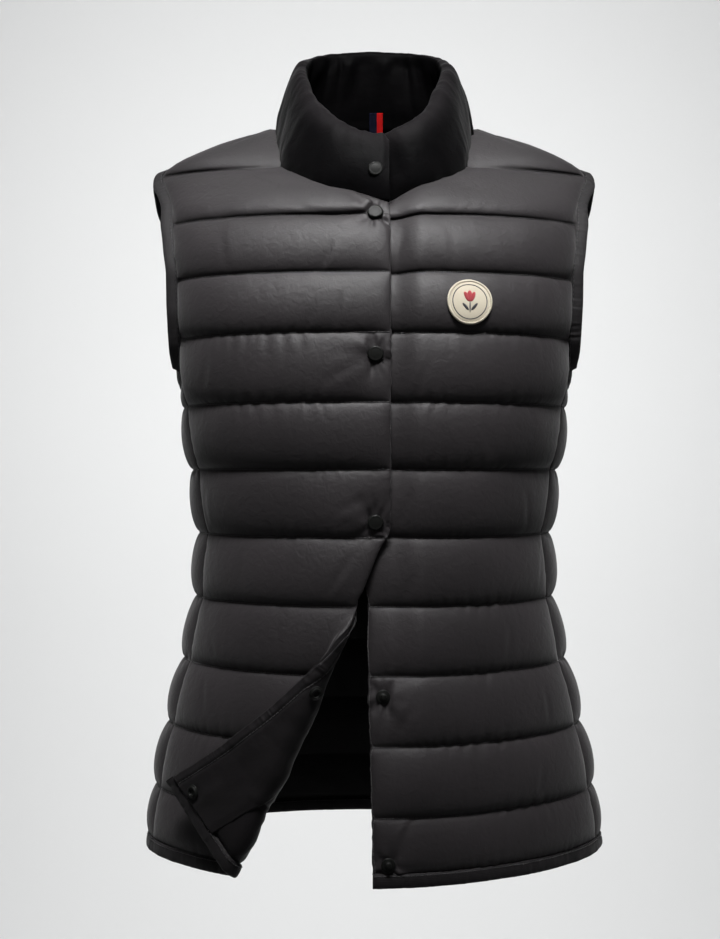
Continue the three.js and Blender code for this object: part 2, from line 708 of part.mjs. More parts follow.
function capProfile() {
  const r = SNAP_CAP_RADIUS;
  const h = SNAP_CAP_HEIGHT;
  return [[0, 0], [r - 0.5, 0], [r, 0.5], [r - 0.3, 1.3], [r - 1.6, h - 0.2], [0, h]];
}

function socketProfile() {
  const r = SOCKET_RADIUS;
  return [[0, 0], [r, 0], [r, 0.9], [r - 1.2, 1.4], [r - 1.8, 2.2], [2.6, 2.2], [2.4, 0.8], [0, 0.8]];
}

function studProfile() {
  const r = SOCKET_RADIUS;
  const p = STUD_POST_RADIUS;
  return [[0, 0], [r, 0], [r, 0.7], [r - 1, 1.1], [p + 0.3, 1.2], [p, 2], [p + 0.3, 3.2], [p - 0.6, 3.9], [0, 3.9]];
}

function snapOn(place, along, z, out, facesOut, profile) {
  const sign = facesOut ? 1 : -1;
  const at = place(along, z, out);
  const axis = place(along, z, out + sign).sub(at).normalize();
  return turned(profile, at.addScaledVector(axis, SNAP_SEAT), axis);
}

// The height of the flat faces of a placket at a place, between its rows and columns
function placketFace(z, inset) {
  const share = Math.min(1, Math.max(0, channelShare(z)));
  const stops = [...STEPS_IN_CHANNEL, 1];
  let k = 0;
  while (k < stops.length - 2 && stops[k + 1] <= share) k += 1;
  const t = (share - stops[k]) / (stops[k + 1] - stops[k]);
  const column = PLACKET_COLUMN * Math.floor(inset / PLACKET_COLUMN);
  const u = (inset - column) / PLACKET_COLUMN;
  const fill = placketFill(column) * (1 - u) + placketFill(column + PLACKET_COLUMN) * u;
  return PUFF * (crown(stops[k]) * (1 - t) + crown(stops[k + 1]) * t) * fill;
}

function placketRise(z) {
  let rise = 0;
  for (let k = 0; k < 16; k += 1) {
    const angle = (Math.PI * k) / 8;
    const inset = SNAP_INSET + SNAP_CAP_RADIUS * Math.cos(angle);
    rise = Math.max(rise, placketFace(z + SNAP_CAP_RADIUS * Math.sin(angle), inset));
  }
  return rise;
}

function collarCap() {
  const [first, second] = collarEnd(-1).slice(1, 3);
  const foot = first[2].clone().lerp(second[2], 0.9).lerp(first[3].clone().lerp(second[3], 0.9), COLLAR_SNAP_LEVEL);
  const along = new THREE.Vector3().subVectors(second[2], first[2]);
  const up = new THREE.Vector3().subVectors(first[3], first[2]);
  const axis = new THREE.Vector3().crossVectors(up, along).normalize();
  if (axis.y > 0) axis.negate();
  return turned(capProfile(), foot.addScaledVector(axis, COLLAR_SNAP_SEAT), axis);
}

// A round patch made from the left front's own points, moved out
function badge() {
  const rings = [0, 0.4, 0.75, 1];
  const sectors = 20;
  const centreHeight = (out) => onLeftFront(BADGE_ALONG, BADGE_Z, out);
  const rise = (z) => swell(z, 999, 999);
  const highest = Math.max(rise(BADGE_Z), rise(BADGE_Z + 6), rise(BADGE_Z - 6));
  const at = (share, k, lift) => {
    const angle = (2 * Math.PI * k) / sectors;
    const along = BADGE_ALONG + BADGE_RADIUS * share * Math.cos(angle);
    const z = BADGE_Z + BADGE_RADIUS * share * Math.sin(angle);
    const droop = highest - BADGE_DROOP * share * share;
    return onLeftFront(along, z, Math.max(droop, rise(z)) + lift);
  };
  const points = [centreHeight(highest + BADGE_GAP + BADGE_THICK), centreHeight(highest + BADGE_GAP)];
  for (const share of rings.slice(1)) {
    for (let k = 0; k < sectors; k += 1) points.push(at(share, k, BADGE_GAP + BADGE_THICK), at(share, k, BADGE_GAP));
  }
  const id = (ring, k, under) => 2 + ring * 2 * sectors + 2 * (k % sectors) + under;
  const triangles = [];
  for (let k = 0; k < sectors; k += 1) {
    triangles.push([0, id(0, k, 0), id(0, k + 1, 0)], [1, id(0, k + 1, 1), id(0, k, 1)]);
    for (let ring = 0; ring < rings.length - 2; ring += 1) {
      const [a, b] = [id(ring, k, 0), id(ring, k + 1, 0)];
      const [c, d] = [id(ring + 1, k + 1, 0), id(ring + 1, k, 0)];
      triangles.push([a, d, c], [a, c, b], [a + 1, c + 1, d + 1], [a + 1, b + 1, c + 1]);
    }
    const [a, b] = [id(rings.length - 2, k, 0), id(rings.length - 2, k + 1, 0)];
    triangles.push([a, a + 1, b + 1], [a, b + 1, b]);
  }
  return bodyFromTriangles(points, triangles);
}

// The hanger tape inside the back of the neck
function neckLoop() {
  const centre = collarEnd(1).pop();
  const depth = Math.min(...centre.slice(9).map((p) => p.y)) + 0.3;
  const strip = (y) => LOOP_ENDS.map((z) => [-0.5, 0.5].map((s) => new THREE.Vector3(LOOP_X + s * LOOP_WIDTH, y, z)));
  return wall(strip(depth - LOOP_THICK), strip(depth));
}

// The vest

const group = new THREE.Group();

function add(name, geometry, material) {
  const mesh = new THREE.Mesh(geometry, material);
  mesh.name = name;
  group.add(mesh);
}

add("front_right", frontPanel(RIGHT_EDGE, true, onRightFront), BLACK_NYLON);
add("front_left", frontPanel(LEFT_EDGE, false, onLeftFront), BLACK_NYLON);
add("back", backPanel(), BLACK_NYLON);
add("collar", collar(), BLACK_NYLON);
add("armhole_binding_right", armholeBinding(-1), BLACK_BINDING);
add("armhole_binding_left", armholeBinding(1), BLACK_BINDING);
add("hem_binding_front_right", frontHem(RIGHT_EDGE, true, onRightFront), BLACK_BINDING);
add("hem_binding_front_left", frontHem(LEFT_EDGE, false, onLeftFront), BLACK_BINDING);
add("hem_binding_back", backHem(), BLACK_BINDING);
add("facing_front_right", facing(), BLACK_LINING);
add("neck_loop", neckLoop(), LOOP_TAPE);
add("badge", badge(), BADGE_CLOTH);
add("snap_cap_1", collarCap(), SNAP_PLASTIC);
CLOSED_SNAPS.forEach((z, k) => {
  const along = read(RIGHT_EDGE, "z", "along", z) + SNAP_INSET;
  add(`snap_cap_${k + 2}`, snapOn(onRightFront, along, z, placketRise(z), true, capProfile()), SNAP_PLASTIC);
});
OPEN_SNAPS.forEach(({ z, inset, lift }, k) => {
  const number = k + CLOSED_SNAPS.length + 2;
  const along = read(RIGHT_EDGE, "z", "along", z) + inset;
  const inside = -WALL - FACING_GAP - FACING_THICK - lift;
  const seat = read(LEFT_EDGE, "z", "along", z) + SNAP_INSET;
  add(`snap_socket_${number}`, snapOn(onRightFront, along, z, inside, false, socketProfile()), SNAP_PLASTIC);
  add(`snap_stud_${number}`, snapOn(onLeftFront, seat, z, placketRise(z), true, studProfile()), SNAP_PLASTIC);
});

export default group;
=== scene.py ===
"""A women's quilted puffer vest with nobody in it. Sizes are in millimetres until a mesh is made."""

import math

import bmesh
import bpy
import numpy as np
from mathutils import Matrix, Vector


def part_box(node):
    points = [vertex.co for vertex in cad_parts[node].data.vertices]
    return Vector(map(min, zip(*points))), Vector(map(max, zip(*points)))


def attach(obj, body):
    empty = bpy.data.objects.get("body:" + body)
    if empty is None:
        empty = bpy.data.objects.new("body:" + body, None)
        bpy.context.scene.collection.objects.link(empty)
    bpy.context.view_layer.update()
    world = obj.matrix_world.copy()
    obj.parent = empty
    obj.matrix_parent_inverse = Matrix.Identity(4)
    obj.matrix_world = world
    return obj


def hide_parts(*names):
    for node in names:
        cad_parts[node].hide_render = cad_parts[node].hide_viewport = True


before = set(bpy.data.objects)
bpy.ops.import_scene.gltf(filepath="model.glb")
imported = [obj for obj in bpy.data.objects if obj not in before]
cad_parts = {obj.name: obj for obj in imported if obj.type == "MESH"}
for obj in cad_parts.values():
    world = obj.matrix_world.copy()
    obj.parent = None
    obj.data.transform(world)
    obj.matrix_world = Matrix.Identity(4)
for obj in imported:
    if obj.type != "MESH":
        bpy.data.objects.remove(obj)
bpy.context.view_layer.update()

MM = 0.001

# Driving sizes, the same as the construction's
SEAM_LAP = 0.35
OVERLAP = 12.0
UNDERLAP_DEPTH = 7.5
PUFF = 7.5
HEM_SEAM_Z = -602.5
HEM_EDGE_Z = -614.0
FACING_WIDTH = 53.0
SNAP_INSET = 12.0
ARMPIT_Z = -213.0
UNDERARM_Z = -240.0
ARMPIT_DROP = 12.0
NECK_CENTRE_Z = -78.0
NECK_CENTRE_RISE = 2.7
SHOULDER_TIP_Z = -34.0
QUILT_ROWS = [HEM_SEAM_Z, -560, -506, -452, -398.5, -345, -292, -240, -186, -138, -90, -41]


def table(columns, rows):
    values = np.array(rows, dtype=float)
    return {name: values[:, k] for k, name in enumerate(columns)}


SECTIONS = table(
    ["z", "side", "front", "back", "front_power", "back_power", "middle"],
    [
        [16, 84, 3, 53, 2, 2, 5],
        [4, 86, 4, 60, 1.6, 2, 5],
        [-13, 127, 20, 69, 1.6, 2, 5],
        [-34, 177, 41, 80, 1.75, 2.1, 5],
        [-41, 183, 48, 83, 1.8, 2.1, 5],
        [-65, 187, 71, 91, 1.9, 2.2, 3],
        [-90, 185, 95, 97, 2.1, 2.3, 0],
        [-138, 177, 111, 105, 2.4, 2.4, 0],
        [-186, 168, 119, 109, 2.5, 2.4, 0],
        [-240, 161, 120, 110, 2.4, 2.3, 0],
        [-292, 154, 117, 109, 2.2, 2.2, 0],
        [-345, 149, 115, 108, 2, 2.2, 0],
        [-398.5, 151.5, 117, 109, 1.9, 2.2, 0],
        [-452, 162, 120, 111, 1.8, 2.2, 0],
        [-506, 175, 123, 113, 1.75, 2.2, 0],
        [-560, 186, 125, 115, 1.7, 2.2, 0],
        [-620, 195, 126, 116, 1.7, 2.2, 0],
    ],
)
FRONT_OUTER = table(
    ["z", "depth"],
    [
        [4, 5], [-13, 5], [-34, 4], [-60, -20], [-85, -41], [-110, -52], [-134, -58], [-160, -58],
        [-186, -53], [-213, -44], [-240, -48], [-292, -47], [-345, -45], [-398, -37], [-452, -32],
        [-506, -28], [-560, -24], [-620, -22],
    ],
)
BACK_ARMHOLE = table(
    ["z", "depth"],
    [
        [4, 5], [-13, 5.8], [-34, 7], [-60, 26], [-85, 43], [-110, 52], [-134, 55], [-160, 54],
        [-186, 49], [-213, 34],
    ],
)
FRONT_NECK = table(
    ["z", "half"], [[-78, -OVERLAP], [-74, 14], [-69, 28], [-55, 53], [-41, 67], [-18, 77], [1, 81]])
BACK_NECK = table(["z", "half"], [[1, 81], [6, 73], [11, 56], [14.5, 26]])
RIGHT_EDGE = table(
    ["z", "along"],
    [
        [-78, -12], [-330, -12], [-340, -11], [-352, -4], [-372, 5], [-394, 14], [-420, 18], [-450, 21],
        [-485, 21], [-620, 16],
    ],
)
LEFT_EDGE = table(["z", "along"], [[-78, -12], [-340, -12], [-396, -6], [-468, -6], [-508, -4], [-620, -2]])
FOLD_TOP = np.array([24.0, -394.5])
FOLD_FOOT = np.array([122.0, -611.0])
FOLD_BOW = 4.5
ROLL_RADIUS = 7.5
ROLL_FADE = (-15.0, 30.0, 11.0)
FLAP_SLOPE = 0.46
FLAP_PUFF = 0.42
FLAP_LIFT = (10.0, 80.0)
COLLAR = table(
    ["turn", "x", "y", "z", "thick"],
    [
        [0, 0, -66, -20, 9],
        [0.1, 17, -64, -14, 12],
        [0.25, 40, -50, 4, 15],
        [0.42, 56, -18, 35, 15],
        [0.58, 62, 12, 58, 15],
        [0.72, 55, 39, 74, 15],
        [0.86, 33, 54, 82, 15],
        [1, 0, 58, 84.5, 15],
    ],
)
COLLAR_END_SHIFT = {-1: 2.0, 1: -10.5}
COLLAR_END_THICK = 8.0


# Curves and noise


def smooth(low, high, value):
    t = np.clip((np.asarray(value, dtype=float) - low) / (high - low), 0, 1)
    return t * t * (3 - 2 * t)


def read(rows, key, column, at):
    """One column of a table at a key, along a curve with no overshoot."""
    x, y = rows[key], rows[column]
    if x[0] > x[-1]:
        x, y = x[::-1], y[::-1]
    at = np.clip(np.asarray(at, dtype=float), x[0], x[-1])
    k = np.clip(np.searchsorted(x, at, side="right") - 1, 0, len(x) - 2)
    step = np.diff(x)
    slope = np.diff(y) / step
    before, after = slope[:-1], slope[1:]
    total = np.where(before * after > 0, before + after, 1)
    inner = np.where(before * after > 0, 2 * before * after / total, 0)
    tangent = np.concatenate([slope[:1], inner, slope[-1:]])
    t = (at - x[k]) / step[k]
    u = 1 - t
    rise = (1 + 2 * t) * u * u * y[k] + t * u * u * step[k] * tangent[k]
    return rise + t * t * (3 - 2 * t) * y[k + 1] - t * t * u * step[k] * tangent[k + 1]


def run_along(points):
    """How far each point of a line is from its start."""
    return np.concatenate([[0], np.cumsum(np.linalg.norm(np.diff(points, axis=0), axis=1))])


def noise(x, y, seed):
    """Smooth uneven heights from -1 to 1, one unit from bump to bump."""
    lattice = np.random.RandomState(seed).uniform(-1, 1, (256, 256))
    x, y = np.broadcast_arrays(np.asarray(x, dtype=float), np.asarray(y, dtype=float))
    i, j = np.floor(x).astype(int), np.floor(y).astype(int)
    a, b = smooth(0, 1, x - i), smooth(0, 1, y - j)
    at = lambda p, q: lattice[(i + p) % 256, (j + q) % 256]
    return (at(0, 0) * (1 - a) + at(1, 0) * a) * (1 - b) + (at(0, 1) * (1 - a) + at(1, 1) * a) * b


# The body surface, worked out once on a fine net of heights and shares of the way round

NET_STEP = 2.0
NET_Z = np.arange(-640, 25, NET_STEP)
NET_SHARES = 361
NET_TOP_LEVEL = len(NET_Z) - 1.001
HALF_TURN_STEPS = 721


def build_net():
    angle = np.linspace(0, math.pi, HALF_TURN_STEPS)
    ahead = angle <= math.pi / 2
    share = np.linspace(0, 1, NET_SHARES)
    places, lengths = [], []
    for z in NET_Z:
        side, front, back, front_power, back_power, middle = (
            float(read(SECTIONS, "z", name, z))
            for name in ("side", "front", "back", "front_power", "back_power", "middle")
        )
        power = np.where(ahead, 2 / front_power, 2 / back_power)
        x = side * np.abs(np.sin(angle)) ** power
        reach = np.abs(np.cos(angle)) ** power
        y = np.where(ahead, middle - front * reach, middle + back * reach)
        length = np.concatenate([[0], np.cumsum(np.hypot(np.diff(x), np.diff(y)))])
        at = share * length[-1]
        ring = [np.interp(at, length, x), np.interp(at, length, y), np.full(NET_SHARES, z)]
        places.append(np.stack(ring, axis=1))
        lengths.append(length[-1])
    places = np.array(places)
    rim = np.gradient(places, axis=1)
    rim[:, 0] = [1, 0, 0]
    rim[:, -1] = [-1, 0, 0]
    normals = np.cross(rim, np.gradient(places, axis=0))
    normals /= np.linalg.norm(normals, axis=2)[:, :, None]
    return places, normals, np.array(lengths)


NET_PLACES, NET_NORMALS, NET_LENGTHS = build_net()


def ring_length(z):
    return np.interp(z, NET_Z, NET_LENGTHS)


def on_body(along, z, out):
    """Points on the vest: along is the way round from the centre front, + to the viewer's right."""
    along, z, out = np.broadcast_arrays(along, z, out)
    share = np.abs(along) / ring_length(z)
    mirror = np.where(along < 0, -1.0, 1.0) * np.where(share > 1, -1.0, 1.0)
    share = np.where(share > 1, 2 - share, share) * (NET_SHARES - 1)
    level = np.clip((z - NET_Z[0]) / NET_STEP, 0, NET_TOP_LEVEL)
    i, j = np.floor(level).astype(int), np.clip(np.floor(share).astype(int), 0, NET_SHARES - 2)
    a, b = (level - i)[..., None], (share - j)[..., None]

    def between(net):
        low = net[i, j] * (1 - b) + net[i, j + 1] * b
        return low * (1 - a) + (net[i + 1, j] * (1 - b) + net[i + 1, j + 1] * b) * a

    normal = between(NET_NORMALS)
    normal /= np.linalg.norm(normal, axis=-1)[..., None]
    point = between(NET_PLACES) + normal * out[..., None]
    point[..., 2] += np.where(level >= NET_TOP_LEVEL, z - NET_Z[-1], 0)
    point[..., 0] *= mirror
    return point


def net_row(z):
    i = int(np.clip((z - NET_Z[0]) / NET_STEP, 0, len(NET_Z) - 2))
    t = (z - NET_Z[i]) / NET_STEP
    row = NET_PLACES[i] * (1 - t) + NET_PLACES[i + 1] * t
    return row, np.linspace(0, ring_length(z), NET_SHARES)


def along_at_depth(z, depth):
    row, length = net_row(z)
    return float(np.interp(depth, row[:, 1], length))


def along_at_width(z, half, behind=False):
    row, length = net_row(z)
    widest = int(np.argmax(row[:, 0]))
    if behind:
        return float(np.interp(half, row[widest:, 0][::-1], length[widest:][::-1]))
    return float(np.interp(half, row[: widest + 1, 0], length[: widest + 1]))


def front_inner(z, edge):
    if z <= NECK_CENTRE_Z:
        return float(read(edge, "z", "along", z))
    half = float(read(FRONT_NECK, "z", "half", z))
    return half if half < 0 else along_at_width(z, half)


def front_outer(z):
    return along_at_depth(z, float(read(FRONT_OUTER, "z", "depth", z))) + SEAM_LAP


def back_edge(z):
    full = float(ring_length(z))
    if z <= ARMPIT_Z:
        return full - along_at_depth(z, float(read(BACK_ARMHOLE, "z", "depth", ARMPIT_Z)))
    if z <= BACK_NECK["z"][0]:
        return full - along_at_depth(z, float(read(BACK_ARMHOLE, "z", "depth", z)))
    return full - along_at_width(z, float(read(BACK_NECK, "z", "half", z)), behind=True)


# The turned-back corner

DOWN = (FOLD_FOOT - FOLD_TOP) / np.linalg.norm(FOLD_FOOT - FOLD_TOP)
ACROSS = np.array([DOWN[1], -DOWN[0]])


def fold_place(along, z):
    run = (along - FOLD_TOP[0]) * DOWN[0] + (z - FOLD_TOP[1]) * DOWN[1]
    bow = FOLD_BOW * np.sin(math.pi * np.clip(run / np.linalg.norm(FOLD_FOOT - FOLD_TOP), 0, 1))
    shift = ROLL_FADE[2] * (1 - smooth(ROLL_FADE[0], ROLL_FADE[1], run)) + bow
    past = (along - FOLD_TOP[0]) * ACROSS[0] + (z - FOLD_TOP[1]) * ACROSS[1] - shift
    return run, past, shift


def flap_press(along, z):
    run, past, _ = fold_place(along, z)
    reach = FLAP_SLOPE * np.maximum(0, run)
    under = 1 - smooth(reach + 6, reach + 28, -past)
    return 1 - (1 - FLAP_PUFF) * under * smooth(-10, 25, run)


def on_right_front(along, z, out):
    along, z, out = (np.array(v, dtype=float) for v in np.broadcast_arrays(along, z, out))
    run, past, shift = fold_place(along, z)
    angle = np.clip(past / ROLL_RADIUS, 0, math.pi)
    beyond = np.maximum(0, past - angle * ROLL_RADIUS)
    reach = (ROLL_RADIUS - out) * np.sin(angle) - beyond + shift
    lifted = ROLL_RADIUS - (ROLL_RADIUS - out) * np.cos(angle) + FLAP_LIFT[0] * (beyond / FLAP_LIFT[1]) ** 2
    turned = past > 0
    new_along = np.where(turned, FOLD_TOP[0] + run * DOWN[0] + reach * ACROSS[0], along)
    new_z = np.where(turned, FOLD_TOP[1] + run * DOWN[1] + reach * ACROSS[1], z)
    return on_body(-new_along, new_z, np.where(turned, lifted, out))


def on_left_front(along, z, out):
    sunk = UNDERLAP_DEPTH * (1 - smooth(13, 38, along)) * smooth(-602, -380, z + 40 * (along > 40))
    return on_body(along, z, out - sunk)


def on_back(across, z, out):
    """across is the way round from the centre back, + to the viewer's right."""
    side = np.where(across < 0, -1.0, 1.0)
    return on_body(side * (ring_length(z) - np.abs(across)), z, out)


# Panels as flat nets: rows are heights, columns run from the inner to the outer edge

CHANNEL_STEPS = 22
ROW_CROWD = 0.085
COLUMN_CROWD = 0.06
BELOW_ROWS = -640
ABOVE_ROWS = 24


def panel_heights(top):
    heights = []
    rows = [*QUILT_ROWS, top]
    for low, high in zip(rows, rows[1:]):
        steps = CHANNEL_STEPS if high - low > 45 else max(8, int(CHANNEL_STEPS * (high - low) / 50))
        share = np.arange(steps) / steps
        share = share - ROW_CROWD * np.sin(2 * math.pi * share)
        heights.extend(low + share * (high - low))
    heights.append(top)
    heights = np.array(heights)
    for stop in (ARMPIT_Z, SHOULDER_TIP_Z, NECK_CENTRE_Z, 1.0):
        if stop < top:
            heights[np.argmin(np.abs(heights - stop))] = stop
    return heights


def channel_share(z):
    rows = np.array([BELOW_ROWS, *QUILT_ROWS, ABOVE_ROWS])
    k = np.clip(np.searchsorted(rows, z, side="right") - 1, 0, len(rows) - 2)
    return np.clip((z - rows[k]) / (rows[k + 1] - rows[k]), 0, 1), k


def front_net(edge, columns):
    heights = panel_heights(1.0)
    share = np.linspace(0, 1, columns)
    share = share - COLUMN_CROWD * np.sin(2 * math.pi * share)
    edges = [(front_inner(z, edge), front_outer(z)) for z in heights]
    along = np.array([inner + share * (outer - inner) for inner, outer in edges])
    return along, np.repeat(heights[:, None], columns, axis=1)


GUSSET = 26


def back_net(columns):
    heights = panel_heights(14.5)
    half = columns // 2
    rows_across, rows_z = [], []
    for z in heights:
        edge = back_edge(z)
        main = np.linspace(0, edge, half + 1)
        share = np.arange(1, GUSSET + 1) / GUSSET
        if z > ARMPIT_Z:
            extra, drop = np.full(GUSSET, edge), np.zeros(GUSSET)
        else:
            seam = float(ring_length(z)) - front_outer(z) + 2 * SEAM_LAP
            extra = edge + (seam - edge) * share
            drop = ARMPIT_DROP * np.sin(math.pi * share) * float(smooth(UNDERARM_Z, ARMPIT_Z, z))
        across = np.concatenate([main, extra])
        level = np.concatenate([np.full(half + 1, z), z - drop])
        rows_across.append(np.concatenate([-across[::-1], across[1:]]))
        rows_z.append(np.concatenate([level[::-1], level[1:]]))
    return np.array(rows_across), np.array(rows_z), heights


# The quilting: each net is blown up between its stitched rows, with the cloth a little longer than the seams

FRONT_PUFF = 5.4
BACK_PUFF = 6.6
STEPS_FULL = 130
PRESSURE = 0.035
GATHER = 0.06
SLACK_UP = 0.052
KEPT_SPEED = 0.86
IRON_REACH = 7


def settle(along, z, slack_up, gather, held, held_out, seed):
    """Moves a flat net of cloth under pressure. Returns how far each point went: along, up and out."""
    rest = np.stack([along, z, np.zeros_like(along)], axis=-1)
    share, _ = channel_share(z)
    crown = np.sin(math.pi * share) ** 0.7
    place = rest.copy()
    place[..., 2] = PUFF * crown * np.sqrt(np.clip(slack_up / SLACK_UP, 0, 2))
    place[..., 2] += 0.5 * noise(along / 5, z / 9, seed) * crown ** 0.5
    place[..., 2] += 0.35 * noise(along / 2.6, z / 7, seed + 1)
    place[held, 2] = held_out[held]
    start = place.copy()
    free = (~held)[..., None]
    families = []
    for di, dj, stiff, one_way in (
        (0, 1, 1.0, False), (1, 0, 1.0, False), (1, 1, 0.5, False), (1, -1, 0.5, False),
        (0, 2, 0.35, True), (2, 0, 0.45, True), (0, 4, 0.12, True),
    ):
        span = max(di, abs(dj))
        rows, columns = rest.shape[:2]
        i0 = slice(0, rows - di)
        i1 = slice(di, rows)
        j0 = slice(0, columns - dj) if dj >= 0 else slice(-dj, columns)
        j1 = slice(dj, columns) if dj >= 0 else slice(0, columns + dj)
        across = np.abs(rest[i1, j1, 0] - rest[i0, j0, 0]) * (1 + gather[i0, j0])
        up = np.abs(rest[i1, j1, 1] - rest[i0, j0, 1]) * (1 + slack_up[i0, j0])
        if di == 0:
            length = np.hypot(across, rest[i1, j1, 1] - rest[i0, j0, 1])
        elif dj == 0:
            length = np.hypot(up, rest[i1, j1, 0] - rest[i0, j0, 0])
        else:
            length = np.hypot(across, up)
        weight_a = np.where(held[i0, j0], 0.0, 1.0)
        weight_b = np.where(held[i1, j1], 0.0, 1.0)
        total = np.maximum(weight_a + weight_b, 1)
        live = (length > 0.05) & (weight_a + weight_b > 0)
        share_a = stiff * weight_a / total * live
        share_b = stiff * weight_b / total * live
        families.append((i0, i1, j0, j1, length, share_a, share_b, one_way, span))
    last = place.copy()
    for step in range(STEPS_FULL):
        speed = (place - last) * KEPT_SPEED
        last = place.copy()
        normal = np.cross(np.gradient(place, axis=1), np.gradient(place, axis=0))
        size = np.linalg.norm(normal, axis=2)
        normal = np.where(size[..., None] > 1e-6, normal / np.maximum(size, 1e-6)[..., None], [0, 0, 1])
        push = PRESSURE * normal
        push[..., 1] -= 0.3 * PRESSURE * crown
        place = place + (speed + push) * free
        for i0, i1, j0, j1, length, share_a, share_b, one_way, span in families:
            for turn in range(2):
                a, b = place[i0, j0], place[i1, j1]
                gap = b - a
                far = np.sqrt((gap * gap).sum(axis=-1)) + 1e-9
                pull = (far - length) / far
                if one_way:
                    pull = np.minimum(pull, 0)
                index = np.arange(a.shape[0])[:, None] * (i0.stop != i1.stop or i0.start != i1.start)
                index = index + np.arange(a.shape[1])[None, :] * (j0 != j1)
                pull = pull * (((index // span) % 2) == turn)
                place[i0, j0] += gap * (pull * share_a)[..., None]
                place[i1, j1] -= gap * (pull * share_b)[..., None]
        place[..., 2] = np.maximum(place[..., 2], np.minimum(0, start[..., 2]))
        place[held] = start[held]
    return place - rest


def panel_slack(along, z, inner, outer, seed, press=1.0):
    """Extra length up and across at each point, from the filling and the gathered seams."""
    share, _ = channel_share(z)
    crown = np.sin(math.pi * share)
    from_inner = along - inner
    from_outer = outer - along
    fill = 1 + 0.22 * noise(along / 60, z / 54 + 7, seed) + 0.12 * noise(along / 22, z / 30, seed + 3)
    border = ((0.3 + 0.7 * smooth(8, 42, from_inner)) * smooth(-6, 36, from_outer)) ** 2
    calm = 1 - 0.55 * smooth(-110, -60, z)
    slack = SLACK_UP * fill * border * press ** 2 * calm
    even = 1 - 0.9 * smooth(-170, -100, z)
    gathered = GATHER * (1 - 0.8 * crown ** 1.3) * (1 + 0.5 * noise(along / 35, z / 20, seed + 5)) * even
    return np.maximum(slack, 0.002), np.maximum(gathered, 0.004)


def level_crests(moved, z, puff):
    """Scales the swelling so that the middles of the channels have a stated height."""
    share, _ = channel_share(z)
    middle = (share > 0.35) & (share < 0.65)
    moved[..., 2] *= puff / np.percentile(moved[..., 2][middle], 60)
    return moved


def ironed(along, z, moved):
    """Evens the swelling along the rows near the shoulders, where the cloth lies smooth."""
    wide = np.pad(moved, ((0, 0), (IRON_REACH, IRON_REACH), (0, 0)), mode="edge")
    steps = 2 * IRON_REACH + 1
    even = sum(wide[:, k: k + moved.shape[1]] for k in range(steps)) / steps
    weight = (smooth(-115, -92, z) * smooth(8, 22, along))[..., None]
    return moved * (1 - weight) + even * weight


def puckers(along, z, from_outer, seed):
    """Small folds that fan out of the stitched rows and of the armhole seam."""
    share, channel = channel_share(z)
    rows = np.array([BELOW_ROWS, *QUILT_ROWS, ABOVE_ROWS])
    height = rows[channel + 1] - rows[channel]
    above = share * height
    below = (1 - share) * height
    crown = np.minimum(1, 14 * np.sin(math.pi * share))
    local = 0.55 + 0.45 * noise(along / 48, z / 54, seed + 1)
    lean = 0.35 * noise(along / 40, z / 50, seed + 2)
    rise = np.zeros_like(along)
    for wave, deep, reach in ((4.6, 0.26, 6), (8.5, 0.42, 12), (17, 0.5, 20)):
        for gap, way in ((above, 1), (below, -1)):
            here = noise((along + way * lean * gap) / wave, channel * 3.7 + way, seed + int(wave * 10))
            rise = rise + deep * here * np.exp(-gap / reach)
    rise = rise * crown * local
    fan = noise(z / 5.5 + from_outer / 60, from_outer / 45, seed + 7) * np.exp(-np.maximum(from_outer, 0) / 13)
    return rise + 0.55 * fan * smooth(0, 3, from_outer) * crown


def snap_folds(along, z, snaps, seed):
    """Uneven folds that run out of each snap."""
    rise = np.zeros_like(along)
    for k, (at, level) in enumerate(snaps):
        reach = np.hypot(along - at, z - level)
        turn = np.arctan2(z - level, along - at)
        folds = noise(turn * 1.7 + 20, np.full_like(turn, k * 2.3), seed)
        folds = folds + 0.6 * noise(turn * 3.4 + 40, reach / 30, seed + 1)
        rise += 2.4 * folds * smooth(5.5, 9, reach) * np.exp(-np.maximum(reach - 9, 0) / 10)
    return rise


def creases(along, z, rows):
    """Soft lines pressed into the cloth: place, length, lean from level in degrees, depth and width."""
    rise = np.zeros_like(along)
    for at, level, length, lean, depth, width in rows:
        c, s = math.cos(math.radians(lean)), math.sin(math.radians(lean))
        run = ((along - at) * c + (z - level) * s) / (length / 2)
        off = (-(along - at) * s + (z - level) * c) / width
        rise -= depth * np.exp(-off * off) * np.clip(1 - run * run, 0, 1)
        rise += 0.5 * depth * np.exp(-(off - 1.6) ** 2) * np.clip(1 - run * run, 0, 1)
    return rise


RIGHT_CREASES = [
    (38, -126, 30, 112, 0.9, 2.5), (30, -170, 34, 100, 0.7, 3), (52, -176, 26, 118, 0.5, 3),
    (120, -120, 34, 80, 0.45, 3.5), (86, -62, 46, 24, 0.8, 3), (60, -78, 36, 16, 0.7, 2.5),
    (26, -215, 40, 150, 0.9, 3), (64, -262, 36, 100, 0.5, 3.5), (18, -318, 30, 158, 0.9, 3),
    (30, -372, 40, 125, 0.7, 3), (76, -430, 34, 95, 0.5, 3), (150, -475, 30, 78, 0.6, 3),
    (110, -372, 30, 82, 0.4, 3.5), (96, -530, 34, 140, 0.9, 3), (140, -440, 26, 70, 0.5, 2.5),
    (134, -575, 30, 92, 0.5, 3), (150, -320, 30, 88, 0.4, 3), (140, -215, 28, 105, 0.5, 3),
]
LINING_CREASES = [
    (74, -556, 26, 20, 1.4, 2.2), (92, -566, 22, 60, 0.9, 2.4), (60, -590, 30, 96, 0.8, 3),
    (48, -575, 26, 80, 0.5, 3), (60, -520, 28, 110, 0.6, 3), (100, -590, 30, 84, 0.8, 3),
]
